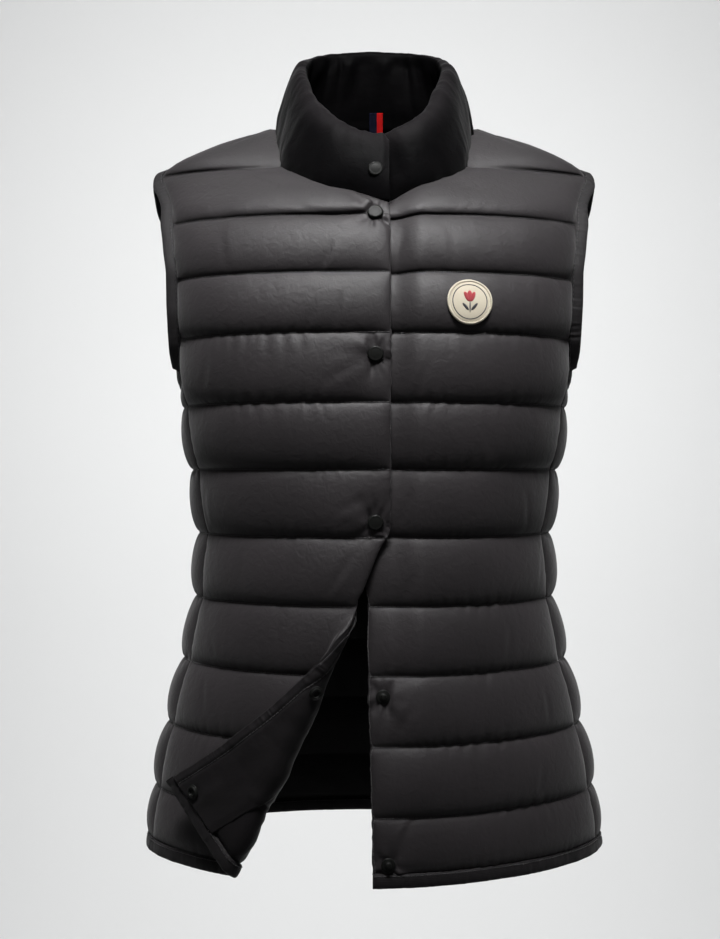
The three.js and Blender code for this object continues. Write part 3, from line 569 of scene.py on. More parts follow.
LEFT_CREASES = [
    (20, -118, 34, 75, 0.6, 3), (60, -120, 36, 96, 0.4, 3.5), (70, -66, 44, -26, 0.8, 3),
    (40, -80, 30, -14, 0.7, 2.5), (130, -160, 30, 84, 0.5, 3), (36, -222, 34, 70, 0.5, 3),
    (88, -268, 30, 97, 0.5, 3.5), (24, -320, 30, 72, 0.5, 3), (128, -322, 34, 100, 0.5, 3),
    (30, -376, 36, 66, 0.5, 3), (110, -430, 32, 85, 0.6, 3), (150, -372, 26, 80, 0.4, 3),
    (26, -482, 34, 60, 0.7, 3), (76, -536, 34, 93, 0.5, 3), (150, -482, 30, 102, 0.5, 3),
    (24, -570, 34, 58, 0.7, 3), (100, -585, 28, 84, 0.5, 3), (140, -538, 30, 79, 0.6, 3),
]


def held_mask(z_rows, shape):
    held = np.zeros(shape, dtype=bool)
    for row in QUILT_ROWS:
        held[np.argmin(np.abs(z_rows - row))] = True
    held[0] = held[-1] = True
    held[:, 0] = held[:, -1] = True
    return held


def press_snaps(along, z, held, held_out, snaps, rise):
    for at, level in snaps:
        near = np.hypot(along - at, z - level) < 6.0
        held |= near
        held_out[near] = rise
    return held, held_out


# Meshes


def mesh_object(name, points, faces, uv=None):
    mesh = bpy.data.meshes.new(name)
    points = np.asarray(points, dtype=np.float32).reshape(-1, 3) * MM
    faces = np.asarray(faces, dtype=np.int32)
    mesh.vertices.add(len(points))
    mesh.vertices.foreach_set("co", points.ravel())
    corners = faces.shape[1]
    mesh.loops.add(faces.size)
    mesh.loops.foreach_set("vertex_index", faces.ravel())
    mesh.polygons.add(len(faces))
    mesh.polygons.foreach_set("loop_start", np.arange(0, faces.size, corners, dtype=np.int32))
    mesh.polygons.foreach_set("loop_total", np.full(len(faces), corners, dtype=np.int32))
    mesh.polygons.foreach_set("use_smooth", np.ones(len(faces), dtype=bool))
    mesh.update(calc_edges=True)
    if uv is not None:
        layer = mesh.uv_layers.new(name="cloth")
        flat = np.asarray(uv, dtype=np.float32).reshape(-1, 2)[faces.ravel()] * MM
        layer.data.foreach_set("uv", flat.ravel())
    mesh.validate()
    obj = bpy.data.objects.new(name, mesh)
    bpy.context.scene.collection.objects.link(obj)
    return obj


def wall_faces(rows, columns, there=None):
    index = np.arange(rows * columns).reshape(rows, columns)
    there = np.ones((rows - 1, columns - 1), dtype=bool) if there is None else there
    a, b, c, d = index[:-1, :-1], index[:-1, 1:], index[1:, 1:], index[1:, :-1]
    outer = np.stack([a, b, c, d], axis=-1)[there]
    size = rows * columns
    inner = outer[:, ::-1] + size
    padded = np.pad(there, 1)
    rims = []
    for (di, dj), (p, q) in {(-1, 0): (a, b), (0, 1): (b, c), (1, 0): (c, d), (0, -1): (d, a)}.items():
        edge = there & ~padded[1 + di: rows + di, 1 + dj: columns + dj]
        rims.append(np.stack([p[edge], p[edge] + size, q[edge] + size, q[edge]], axis=-1))
    return outer, inner, np.concatenate(rims)


def wall_object(name, outer, inner, uv, there=None, materials=()):
    rows, columns = outer.shape[:2]
    outer_faces, inner_faces, rims = wall_faces(rows, columns, there)
    points = np.concatenate([outer.reshape(-1, 3), inner.reshape(-1, 3)])
    faces = np.concatenate([outer_faces, inner_faces, rims])
    kinds = np.repeat(np.array([0, 1, 0], dtype=np.int32), [len(outer_faces), len(inner_faces), len(rims)])
    uv = np.concatenate([uv.reshape(-1, 2)] * 2)
    used = np.zeros(len(points), dtype=bool)
    used[faces.ravel()] = True
    number = np.cumsum(used) - 1
    obj = mesh_object(name, points[used], number[faces], uv[used])
    for material in materials:
        obj.data.materials.append(material)
    if len(materials) > 1 and len(obj.data.polygons) == len(kinds):
        obj.data.polygons.foreach_set("material_index", kinds)
    return obj


def tube_object(name, loops, closed, uv_width, materials=()):
    """A band from loops of points, joined to its start or closed by flat ends."""
    count, size = loops.shape[:2]
    index = np.arange(count * size).reshape(count, size)
    following = np.roll(index, -1, axis=0) if closed else index[1:]
    base = index if closed else index[:-1]
    faces = np.stack([base, np.roll(base, -1, axis=1), np.roll(following, -1, axis=1), following], axis=-1)
    faces = faces.reshape(-1, 4)
    points = loops.reshape(-1, 3)
    run = run_along(loops.mean(axis=1))
    flat = np.broadcast_arrays(run[:, None], np.linspace(0, uv_width, size)[None])
    uv = np.stack(flat, axis=-1).reshape(-1, 2)
    if not closed:
        caps = []
        for ring, flip in ((index[0], True), (index[-1], False)):
            half = size // 2
            for k in range(half - 1):
                quad = [ring[k], ring[k + 1], ring[size - 2 - k], ring[size - 1 - k]]
                caps.append(quad[::-1] if not flip else quad)
        faces = np.concatenate([faces, np.array(caps)])
    obj = mesh_object(name, points, faces, uv)
    for material in materials:
        obj.data.materials.append(material)
    outward_mesh(obj)
    return obj


def outward_mesh(obj):
    work = bmesh.new()
    work.from_mesh(obj.data)
    if work.calc_volume(signed=True) < 0:
        bmesh.ops.reverse_faces(work, faces=work.faces)
    work.to_mesh(obj.data)
    work.free()


def curve_through(points, share, closed=False):
    """A smooth curve through points, read at shares of its length. points is (n, ...)."""
    points = np.asarray(points, dtype=float)
    if closed:
        points = np.concatenate([points[-2:], points, points[:3]])
    flat = points.reshape(len(points), -1)
    chord = np.maximum(np.linalg.norm(np.diff(flat, axis=0), axis=1), 1e-6) ** 0.6
    knot = np.concatenate([[0], np.cumsum(chord)])
    low, high = (knot[2], knot[-3]) if closed else (knot[0], knot[-1])
    at = low + np.asarray(share) * (high - low)
    k = np.clip(np.searchsorted(knot, at, side="right") - 1, 0, len(points) - 2)
    tangent = np.gradient(flat, knot, axis=0)
    step = (knot[k + 1] - knot[k])[:, None]
    t = (at - knot[k])[:, None] / step
    u = 1 - t
    value = (1 + 2 * t) * u * u * flat[k] + t * u * u * step * tangent[k]
    value += t * t * (3 - 2 * t) * flat[k + 1] - t * t * u * step * tangent[k + 1]
    return value.reshape((len(at),) + points.shape[1:])


def unit(v):
    return v / np.maximum(np.linalg.norm(v, axis=-1, keepdims=True), 1e-9)


# Materials


def new_material(name, color, roughness, sheen=0.0, specular=0.5):
    material = bpy.data.materials.new(name)
    material.use_nodes = True
    nodes = material.node_tree.nodes
    shader = nodes["Principled BSDF"]
    shader.inputs["Base Color"].default_value = (*color, 1)
    shader.inputs["Roughness"].default_value = roughness
    shader.inputs["Specular IOR Level"].default_value = specular
    shader.inputs["Sheen Weight"].default_value = sheen
    shader.inputs["Sheen Roughness"].default_value = 0.45
    return material, material.node_tree, shader


def add_node(tree, kind, **values):
    node = tree.nodes.new(kind)
    for name, value in values.items():
        if hasattr(node, name):
            setattr(node, name, value)
        else:
            node.inputs[name.replace("_", " ")].default_value = value
    return node


WAVE_TURNS = 314.0


def cloth_material(name, color, roughness, sheen, weave=0.45, weave_depth=0.05, crinkle=0.12,
                   spread=0.18, specular=0.5):
    """Fine woven cloth: two thread directions, small crinkles and slight unevenness of colour and gloss."""
    material, tree, shader = new_material(name, color, roughness, sheen, specular)
    link = tree.links.new
    place = add_node(tree, "ShaderNodeUVMap")
    body = add_node(tree, "ShaderNodeTexCoord")
    threads = []
    for direction in ("X", "Y"):
        wave = add_node(
            tree, "ShaderNodeTexWave", bands_direction=direction, Scale=WAVE_TURNS / weave, Distortion=0.0)
        link(place.outputs["UV"], wave.inputs["Vector"])
        threads.append(wave.outputs["Fac"])
    both = add_node(tree, "ShaderNodeMath", operation="ADD")
    link(threads[0], both.inputs[0])
    link(threads[1], both.inputs[1])
    fine = add_node(tree, "ShaderNodeTexNoise", Scale=160.0, Detail=4.0, Roughness=0.55, Distortion=0.6)
    link(body.outputs["Object"], fine.inputs["Vector"])
    weave_bump = add_node(tree, "ShaderNodeBump", Strength=weave_depth, Distance=0.0003)
    link(both.outputs[0], weave_bump.inputs["Height"])
    crinkle_bump = add_node(tree, "ShaderNodeBump", Strength=crinkle, Distance=0.0012)
    link(fine.outputs["Fac"], crinkle_bump.inputs["Height"])
    link(weave_bump.outputs["Normal"], crinkle_bump.inputs["Normal"])
    link(crinkle_bump.outputs["Normal"], shader.inputs["Normal"])
    broad = add_node(tree, "ShaderNodeTexNoise", Scale=14.0, Detail=3.0)
    link(body.outputs["Object"], broad.inputs["Vector"])
    shade = add_node(tree, "ShaderNodeValToRGB")
    shade.color_ramp.elements[0].position = 0.3
    shade.color_ramp.elements[1].position = 0.7
    shade.color_ramp.elements[0].color = (*[c * (1 - spread) for c in color], 1)
    shade.color_ramp.elements[1].color = (*[c * (1 + spread) for c in color], 1)
    link(broad.outputs["Fac"], shade.inputs["Fac"])
    link(shade.outputs["Color"], shader.inputs["Base Color"])
    gloss = add_node(tree, "ShaderNodeMapRange", To_Min=roughness - 0.04, To_Max=roughness + 0.05)
    link(fine.outputs["Fac"], gloss.inputs["Value"])
    link(gloss.outputs["Result"], shader.inputs["Roughness"])
    return material


def rim_painted_light(material, color, low, high):
    """Painted light: turns the cloth lighter up its width, from low to high in metres, where the rim rolls
    over and faces the light from above.
    """
    tree = material.node_tree
    place = add_node(tree, "ShaderNodeUVMap")
    parts = add_node(tree, "ShaderNodeSeparateXYZ")
    share = add_node(tree, "ShaderNodeMapRange", interpolation_type="SMOOTHSTEP")
    share.inputs["From Min"].default_value = low
    share.inputs["From Max"].default_value = high
    painted_light_mix = add_node(tree, "ShaderNodeMix", data_type="RGBA")
    tree.links.new(place.outputs["UV"], parts.inputs["Vector"])
    tree.links.new(parts.outputs["Y"], share.inputs["Value"])
    tree.links.new(share.outputs["Result"], painted_light_mix.inputs[0])
    shader = tree.nodes["Principled BSDF"]
    tree.links.new(shader.inputs["Base Color"].links[0].from_socket, painted_light_mix.inputs[6])
    painted_light_mix.inputs[7].default_value = (*color, 1)
    tree.links.new(painted_light_mix.outputs[2], shader.inputs["Base Color"])


SHELL = cloth_material(
    "shell_nylon", (0.0125, 0.0106, 0.0116), 0.56, 0.08, crinkle=0.34, specular=0.22)
# Painted shade: the collar is the shell's cloth with a much darker colour, standing in for the shade on its
# steep faces
SHADED_COLLAR_SHELL = cloth_material(
    "collar_nylon_painted_shade", (0.0011, 0.001, 0.0012), 0.5, 0.04, crinkle=0.34, specular=0.015)
# Painted light: the collar's rolled rim is made lighter in colour, standing in for the light falling on it
# from above
rim_painted_light(SHADED_COLLAR_SHELL, (0.0068, 0.006, 0.0066), 0.042, 0.068)
FACING = cloth_material(
    "facing_nylon", (0.0056, 0.0048, 0.0053), 0.56, 0.05, crinkle=0.34, specular=0.12)
# Painted shade: the inside of the collar is far darker than the lining, standing in for the shade inside the
# neck
SHADED_COLLAR_LINING = cloth_material(
    "collar_lining_painted_shade", (0.0012, 0.0011, 0.0013), 0.55, 0.0, crinkle=0.3, specular=0.02)
# Painted shade: the lining is the shell's cloth at about half its colour, so that the inside seen through the
# open front reads as shadowed; the same colour is used for the inside of the turned-back corner
SHADED_LINING = cloth_material(
    "lining_nylon_painted_shade", (0.0056, 0.0049, 0.0054), 0.55, 0.02, crinkle=0.34, specular=0.12)
BINDING = cloth_material(
    "binding_tape", (0.0062, 0.0054, 0.006), 0.62, 0.04, weave=0.9, weave_depth=0.3, specular=0.16)
THREAD = cloth_material(
    "sewing_thread", (0.009, 0.008, 0.009), 0.6, 0.1, weave=0.3, weave_depth=0.2)
NAVY = cloth_material(
    "tape_navy", (0.002, 0.0027, 0.009), 0.8, 0.0, specular=0.05, weave=0.8, weave_depth=0.5)
RED = cloth_material(
    "tape_red", (0.26, 0.004, 0.004), 0.8, 0.0, specular=0.05, weave=0.8, weave_depth=0.5)
CREAM = cloth_material(
    "badge_cream", (0.4, 0.36, 0.28), 0.85, 0.2, weave=0.7, weave_depth=0.5, spread=0.05)
BADGE_RED = cloth_material("badge_red", (0.3, 0.012, 0.02), 0.7, 0.2, weave=0.5, weave_depth=0.6)
BADGE_DARK = cloth_material("badge_dark", (0.012, 0.012, 0.02), 0.7, 0.2, weave=0.5, weave_depth=0.6)


def snap_material():
    material, tree, shader = new_material("snap_lacquer", (0.005, 0.0052, 0.0048), 0.5, specular=0.09)
    place = add_node(tree, "ShaderNodeTexCoord")
    wear = add_node(tree, "ShaderNodeTexNoise", Scale=900.0, Detail=3.0)
    tree.links.new(place.outputs["Object"], wear.inputs["Vector"])
    bump = add_node(tree, "ShaderNodeBump", Strength=0.12, Distance=0.0002)
    tree.links.new(wear.outputs["Fac"], bump.inputs["Height"])
    tree.links.new(bump.outputs["Normal"], shader.inputs["Normal"])
    gloss = add_node(tree, "ShaderNodeMapRange", To_Min=0.38, To_Max=0.55)
    tree.links.new(wear.outputs["Fac"], gloss.inputs["Value"])
    tree.links.new(gloss.outputs["Result"], shader.inputs["Roughness"])
    return material


SNAP = snap_material()


# The quilted panels

FRONT_COLUMNS = 130
BACK_COLUMNS = 150
SEAM_THICK = 1.1
LINING_PUFF = 3.4


def lining_out(along, z, seed, press=1.0):
    """The inside of a panel: shallow puffs with puckers by the stitched rows."""
    share, _ = channel_share(z)
    crown = np.sin(math.pi * share) ** 0.75
    fill = 1 + 0.3 * noise(along / 30, z / 40, seed)
    near = np.exp(-np.minimum(share, 1 - share) * 54 / 7)
    pucker = 0.8 * noise(along / 5.5, z / 26, seed + 1) * near * np.minimum(1, 12 * crown)
    crease = 0.6 * noise(along / 14 + z / 30, z / 12, seed + 2) * crown
    return -(SEAM_THICK + np.maximum(0, LINING_PUFF * crown * fill + pucker + crease) * press)


def edge_fade(array_shape):
    """0 on the net's border and 1 a few cells in."""
    rows, columns = array_shape
    i = np.minimum(np.arange(rows), np.arange(rows)[::-1])[:, None]
    j = np.minimum(np.arange(columns), np.arange(columns)[::-1])[None, :]
    return smooth(0, 4, np.minimum(i, j))


STITCH_LONG = 2.6
STITCH_PITCH = 3.6
STITCH_HALF = 0.32
STITCH_STEPS = 4
STITCH_SIDES = 6


def stitch_faces(paths):
    """Short raised threads along lines of points: each path is (points, normals)."""
    points, faces = [], []
    total = 0
    steps = np.linspace(0, 1, STITCH_STEPS)
    rise = np.sin(math.pi * (0.12 + 0.76 * steps))[None, :, None]
    around = np.linspace(0, 2 * math.pi, STITCH_SIDES, endpoint=False)
    side_a = np.arange(STITCH_SIDES)[None, None]
    side_b = (side_a + 1) % STITCH_SIDES
    each = STITCH_STEPS * STITCH_SIDES
    for line, normals in paths:
        run = run_along(line)
        starts = np.arange(1.0, run[-1] - STITCH_LONG, STITCH_PITCH)
        at = starts[:, None] + steps[None] * STITCH_LONG
        spot = np.stack([np.interp(at, run, line[:, k]) for k in range(3)], axis=-1)
        up = unit(np.stack([np.interp(at, run, normals[:, k]) for k in range(3)], axis=-1))
        side = np.cross(unit(np.gradient(spot, axis=1)), up)
        rings = [spot + STITCH_HALF * (side * math.cos(angle) + up * (math.sin(angle) * 0.8 + 0.9 * rise))
                 for angle in around]
        points.append(np.stack(rings, axis=2).reshape(-1, 3))
        first = total + np.arange(len(starts))[:, None, None] * each
        base = first + np.arange(STITCH_STEPS - 1)[None, :, None] * STITCH_SIDES
        ahead = base + STITCH_SIDES
        quads = np.stack([base + side_a, base + side_b, ahead + side_b, ahead + side_a], axis=-1)
        faces.append(quads.reshape(-1, 4))
        for end in (0, each - STITCH_SIDES):
            faces.append((first + end + np.array([[0, 1, 2, 3], [0, 3, 4, 5]])[None]).reshape(-1, 4))
        total += len(points[-1])
    return np.concatenate(points), np.concatenate(faces)


def stitch_object(name, paths, material):
    points, faces = stitch_faces(paths)
    obj = mesh_object(name, points, faces, points[:, :2])
    obj.data.materials.append(material)
    outward_mesh(obj)
    finish_trim(obj, None)


def quilt_paths(along, z, moved, place):
    """The lines of the stitched rows on a panel, with the way off the cloth."""
    paths = []
    for row in QUILT_ROWS[1:]:
        i = int(np.argmin(np.abs(z[:, z.shape[1] // 2] - row)))
        line = place(along[i] + moved[i, :, 0], z[i] + moved[i, :, 1], moved[i, :, 2] + 0.15)
        above = place(along[i] + moved[i, :, 0], z[i] + moved[i, :, 1], moved[i, :, 2] + 1.15)
        paths.append((line, above - line))
    return paths


def finish_trim(obj, node):
    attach(obj, "root")
    if node:
        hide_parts(node)


def finish_panel(obj, node):
    finish_trim(obj, node)


def off_rows(z, held):
    """0 on the stitched rows and where the cloth is held, and 1 a little way off them."""
    return np.where(held, 0, 1) * smooth(0.02, 0.1, np.sin(math.pi * channel_share(z)[0]))


EDGE_STITCH_COLUMN = 2
CLOSED_SNAPS = [-90.0, -203.0, -333.0]
OPEN_SNAPS = [(-467.5, 12.0), (-595.0, 19.0)]
SNAP_SEAT = 1.6


def build_front(name, edge, place, seed, snaps, is_right):
    along, z = front_net(edge, FRONT_COLUMNS)
    inner = np.repeat(along[:, :1], along.shape[1], axis=1)
    outer = np.repeat(along[:, -1:], along.shape[1], axis=1)
    press = flap_press(along, z) if is_right else np.ones_like(along)
    slack, gather = panel_slack(along, z, inner, outer, seed, press)
    held = held_mask(z[:, 0], along.shape)
    held_out = np.zeros_like(along)
    held, held_out = press_snaps(along, z, held, held_out, snaps, SNAP_SEAT)
    moved = level_crests(settle(along, z, slack, gather, held, held_out, seed), z, FRONT_PUFF)
    moved = ironed(along, z, moved)
    marks = RIGHT_CREASES if is_right else LEFT_CREASES
    detail = puckers(along, z, outer - along, seed + 60) + creases(along, z, marks)
    detail += snap_folds(along, z, snaps, seed + 80)
    moved[..., 2] += detail * press * off_rows(z, held)
    near_edge = np.exp(-(along - inner) / 5) * smooth(NECK_CENTRE_Z + 2, NECK_CENTRE_Z - 4, z)
    wave = 0.55 * noise(z / 2.9, along / 30, seed + 90) + 0.4 * noise(z / 7, along / 30, seed + 91)
    wave = wave * near_edge
    out = moved[..., 2] + 0.8 * np.abs(wave) * press
    outside = place(along + moved[..., 0] + wave, z + moved[..., 1], out)
    shallow = 0.65 if is_right else 1.0
    inner_out = lining_out(along, z, seed + 20, shallow) * edge_fade(along.shape) - 0.4
    if is_right:
        inner_out -= creases(along, z, LINING_CREASES)
    inside = place(along + wave, z, inner_out)
    uv = np.stack([along, z], axis=-1)
    obj = wall_object(name, outside, inside, uv, materials=(SHELL, SHADED_LINING))
    finish_panel(obj, name)
    paths = quilt_paths(along, z, moved, place)
    edge_line = outside[:, EDGE_STITCH_COLUMN]
    off_cloth = unit(np.cross(np.gradient(outside, axis=1), np.gradient(outside, axis=0)))
    off_cloth = off_cloth[:, EDGE_STITCH_COLUMN]
    paths.append((edge_line + 0.1 * off_cloth, off_cloth))
    stitch_object(name + "_stitches", paths, THREAD)
    return along, z, moved


build_front(
    "front_right", RIGHT_EDGE, on_right_front, 11, [(0.0, level) for level in CLOSED_SNAPS], True)
front_left_net = build_front(
    "front_left", LEFT_EDGE, on_left_front, 31,
    [(float(read(LEFT_EDGE, "z", "along", level)) + SNAP_INSET, level) for level, _ in OPEN_SNAPS], False)


def build_back():
    across, z, heights = back_net(BACK_COLUMNS)
    edge = np.repeat(np.abs(across[:, -1:]), across.shape[1], axis=1)
    slack, gather = panel_slack(np.abs(across), z, np.full_like(across, -999), edge, 51)
    held = held_mask(heights, across.shape)
    columns = across.shape[1]
    j = np.arange(columns)
    gusset = (j < GUSSET) | (j >= columns - GUSSET)
    held[np.ix_(heights > ARMPIT_Z - 0.1, gusset)] = True
    held[heights > ARMPIT_Z - 0.1, GUSSET] = True
    held[heights > ARMPIT_Z - 0.1, columns - GUSSET - 1] = True
    moved = level_crests(settle(across, z, slack, gather, held, np.zeros_like(across), 51), z, BACK_PUFF)
    rows = np.random.RandomState(57).uniform(0, 1, (46, 6))
    drags = [(-230 + 460 * a, -600 + 590 * b, 22 + 22 * c, 65 + 50 * d, 0.3 + 0.6 * e, 2.5 + 1.5 * f)
             for a, b, c, d, e, f in rows]
    detail = puckers(across, z, edge - np.abs(across), 111) + creases(across, z, drags)
    moved[..., 2] += detail * off_rows(z, held)
    outside = on_back(across + moved[..., 0], z + moved[..., 1], moved[..., 2])
    inside = on_back(across, z, lining_out(across, z, 71) * edge_fade(across.shape) - 0.4)
    there = np.ones((len(heights) - 1, columns - 1), dtype=bool)
    cells = np.arange(columns - 1)
    arm = (cells < GUSSET) | (cells >= columns - 1 - GUSSET)
    there[np.ix_(heights[:-1] > ARMPIT_Z - 0.1, arm)] = False
    obj = wall_object("back", outside, inside, np.stack([across, z], axis=-1), there, (SHELL, SHADED_LINING))
    finish_panel(obj, "back")
    stitch_object("back_stitches", quilt_paths(across, z, moved, on_back), THREAD)


build_back()


# The stand collar


def neck_seam():
    heights = [z for z in (-80.2, -65.5, -50.8, -41, SHOULDER_TIP_Z, -22, -10, 1) if z > NECK_CENTRE_Z]
    feet = [on_body(0.0, NECK_CENTRE_Z + NECK_CENTRE_RISE, 0.0)]
    for z in heights:
        feet.append(on_body(front_inner(z, LEFT_EDGE), z, 0.0))
    for z in BACK_NECK["z"][1:]:
        feet.append(on_body(float(ring_length(z)) - back_edge(z), z, 0.0))
    feet.append(on_body(float(ring_length(15.0)), 15.0, 0.0))
    return feet


COLLAR_BULGE = 0.9
COLLAR_DROOP = 4.5


def collar_loop(foot, turn, side, shift, thin, bulge, droop):
    rim = np.array([float(read(COLLAR, "turn", name, turn)) for name in ("x", "y", "z")])
    away = unit(np.array([foot[0] * 1.1, foot[1] - 8, 0]))
    thick = min(float(read(COLLAR, "turn", "thick", turn)), thin) / 2
    height = float(np.linalg.norm(rim - foot))
    up = (rim - foot) / height
    out = unit(away - up * away.dot(up))
    profile = [
        (-2.5 - droop, 0.3 + 0.12 * droop), (0.1 * height - droop / 2, 0.7 + 0.7 * bulge + 0.1 * droop),
        (0.35 * height, 1.02 + bulge), (0.65 * height, 1.05 + 0.75 * bulge),
        (0.86 * height, 0.85 + 0.35 * bulge),
        (height - 1.5, 0.35), (height - 1.5, -0.35), (0.86 * height, -0.8), (0.65 * height, -0.95),
        (0.35 * height, -0.9), (0.1 * height, -0.65), (-2.5, -0.4),
    ]
    loop = np.array([foot + up * a + out * (b * thick + shift) for a, b in profile])
    return loop * [side, 1, 1]


def collar_side(side):
    feet = neck_seam()
    shift_of = lambda x: COLLAR_END_SHIFT[side] * (1 - float(smooth(OVERLAP, 46, x)))
    loops = []
    for x in (-OVERLAP + 0.5, -OVERLAP / 2):
        foot = on_body(0.0, NECK_CENTRE_Z + NECK_CENTRE_RISE * (x + OVERLAP) / OVERLAP, 0.0)
        loop = collar_loop(foot, 0, 1, shift_of(x), COLLAR_END_THICK, COLLAR_BULGE * (side < 0), 0)
        cut = 0.9 if x < -OVERLAP / 2 else 1
        loop[:, 2] = foot[2] + (loop[:, 2] - foot[2]) * cut
        loops.append((loop + [x, 0, 0]) * [side, 1, 1])
    for k, foot in enumerate(feet):
        reach = foot[0] + 1000 * (foot[1] > 0)
        thin = COLLAR_END_THICK + 8 * float(smooth(5, 60, reach))
        turn = k / (len(feet) - 1)
        bulge = COLLAR_BULGE * (1 - float(smooth(0.15, 0.5, turn)))
        if side > 0:
            bulge *= float(smooth(OVERLAP, 40, reach))
        droop = COLLAR_DROOP * float(smooth(OVERLAP, 34, reach) * (1 - smooth(66, 84, reach)))
        loops.append(collar_loop(foot, turn, side, shift_of(reach), thin, bulge, droop))
    return loops


COLLAR_TUCKS = [(0.35, 1.6), (0.4, 0.9), (0.43, 1.3), (0.575, 1.4), (0.61, 0.8), (0.66, 1.5)]
COLLAR_RING = 420
COLLAR_ROUND = 84
COLLAR_GIRTH = 150.0


def build_collar():
    loops = np.array([*collar_side(-1), *collar_side(1)[::-1][1:]])
    ring = curve_through(loops, np.linspace(0, 1, COLLAR_RING))
    around = np.linspace(0, 1, COLLAR_ROUND, endpoint=False)
    fine = np.stack([curve_through(loop, around, closed=True) for loop in ring])
    normal = unit(np.cross(np.roll(fine, -1, 1) - np.roll(fine, 1, 1), np.gradient(fine, axis=0)))
    centre = fine.mean(axis=1, keepdims=True)
    if ((fine - centre) * normal).sum(-1).mean() < 0:
        normal = -normal
    run = run_along(centre[:, 0])[:, None]
    foot = ring[:, 0][:, None]
    height = np.linalg.norm(fine - foot, axis=-1)
    girth = np.linspace(0, COLLAR_GIRTH, COLLAR_ROUND)[None]
    round_share = girth / COLLAR_GIRTH
    near_seam = np.exp(-height / 13)
    lift = 0.8 * noise(run / 6.5, girth / 60, 91) * near_seam
    lift += 1.0 * noise(run / 24 + girth / 30, girth / 26, 92) * np.exp(-height / 40)
    lift += 1.3 * noise(run / 38, girth / 30, 93) + 0.35 * noise(run / 7, girth / 16, 94)
    at_rim = np.exp(-((round_share - 0.46) / 0.11) ** 2)
    behind = np.exp(-((run / run[-1] - 0.5) / 0.16) ** 2)
    rim_folds = 1.0 * noise(run / 12, girth / 30, 95) + 0.5 * noise(run / 5.2, girth / 30, 96)
    lift += rim_folds * at_rim * (1 - 0.8 * behind)
    lift += 0.8 * at_rim
    inside = smooth(0.52, 0.6, round_share) * (1 - smooth(0.9, 1, round_share))
    near_rim = np.exp(-np.maximum(round_share - 0.6, 0) / 0.1)
    for at, deep in COLLAR_TUCKS:
        off = (run / run[-1] - at) * run[-1] + (at - 0.5) * 60 * (round_share - 0.55)
        lift -= deep * np.exp(-(off / 3.4) ** 2) * inside * (0.2 + 0.8 * near_rim)
    lift += 1.5 * noise(run / 13 + girth / 50, girth / 30, 97) * inside * near_rim
    ends = smooth(0, 10, run) * smooth(0, 10, run[-1] - run)
    fine = fine + normal * (lift * ends)[..., None]
    obj = tube_object("collar", fine, False, COLLAR_GIRTH, (SHADED_COLLAR_SHELL, SHADED_COLLAR_LINING))
    # The inner half of the ring takes the collar's inside cloth, painted dark as shade
    kinds = np.zeros((COLLAR_RING - 1, COLLAR_ROUND), dtype=np.int32)
    kinds[:, COLLAR_ROUND // 2:] = 1
    kinds = np.concatenate([kinds.ravel(), np.zeros(len(obj.data.polygons) - kinds.size, dtype=np.int32)])
    obj.data.polygons.foreach_set("material_index", kinds)
    finish_panel(obj, "collar")


build_collar()


# Bindings

ARM_CENTRE = np.array([0.0, 0.0, -125.0])
ARM_BAND_WIDTH = 12.0
ARM_RING = 900
ARM_ROUND = 24
HEM_ROUND = 20


def band_stitches(loops, columns):
    """Lines of stitches along a band, one for each column of its loops."""
    centre = loops.mean(axis=1)
    paths = []
    for column in columns:
        off = unit(loops[:, column] - centre)
        paths.append((loops[:, column] + 0.1 * off, off))
    return paths


def armhole_loops(side):
    seam = []
    for z in np.linspace(SHOULDER_TIP_Z, ARMPIT_Z, 60):
        seam.append(on_body(side * front_outer(z), z, -SEAM_THICK / 2))
    edge, full = back_edge(ARMPIT_Z), float(ring_length(ARMPIT_Z))
    for share in np.linspace(1, 0, 24)[1:]:
        across = edge + (full - front_outer(ARMPIT_Z) - edge) * share
        level = ARMPIT_Z - ARMPIT_DROP * math.sin(math.pi * share)
        seam.append(on_body(side * (float(ring_length(level)) - across), level, -SEAM_THICK / 2))
    for z in np.linspace(ARMPIT_Z, SHOULDER_TIP_Z, 60)[1:-1]:
        seam.append(on_body(side * (float(ring_length(z)) - back_edge(z)), z, -SEAM_THICK / 2))
    return curve_through(np.array(seam), np.linspace(0, 1, ARM_RING, endpoint=False), closed=True)


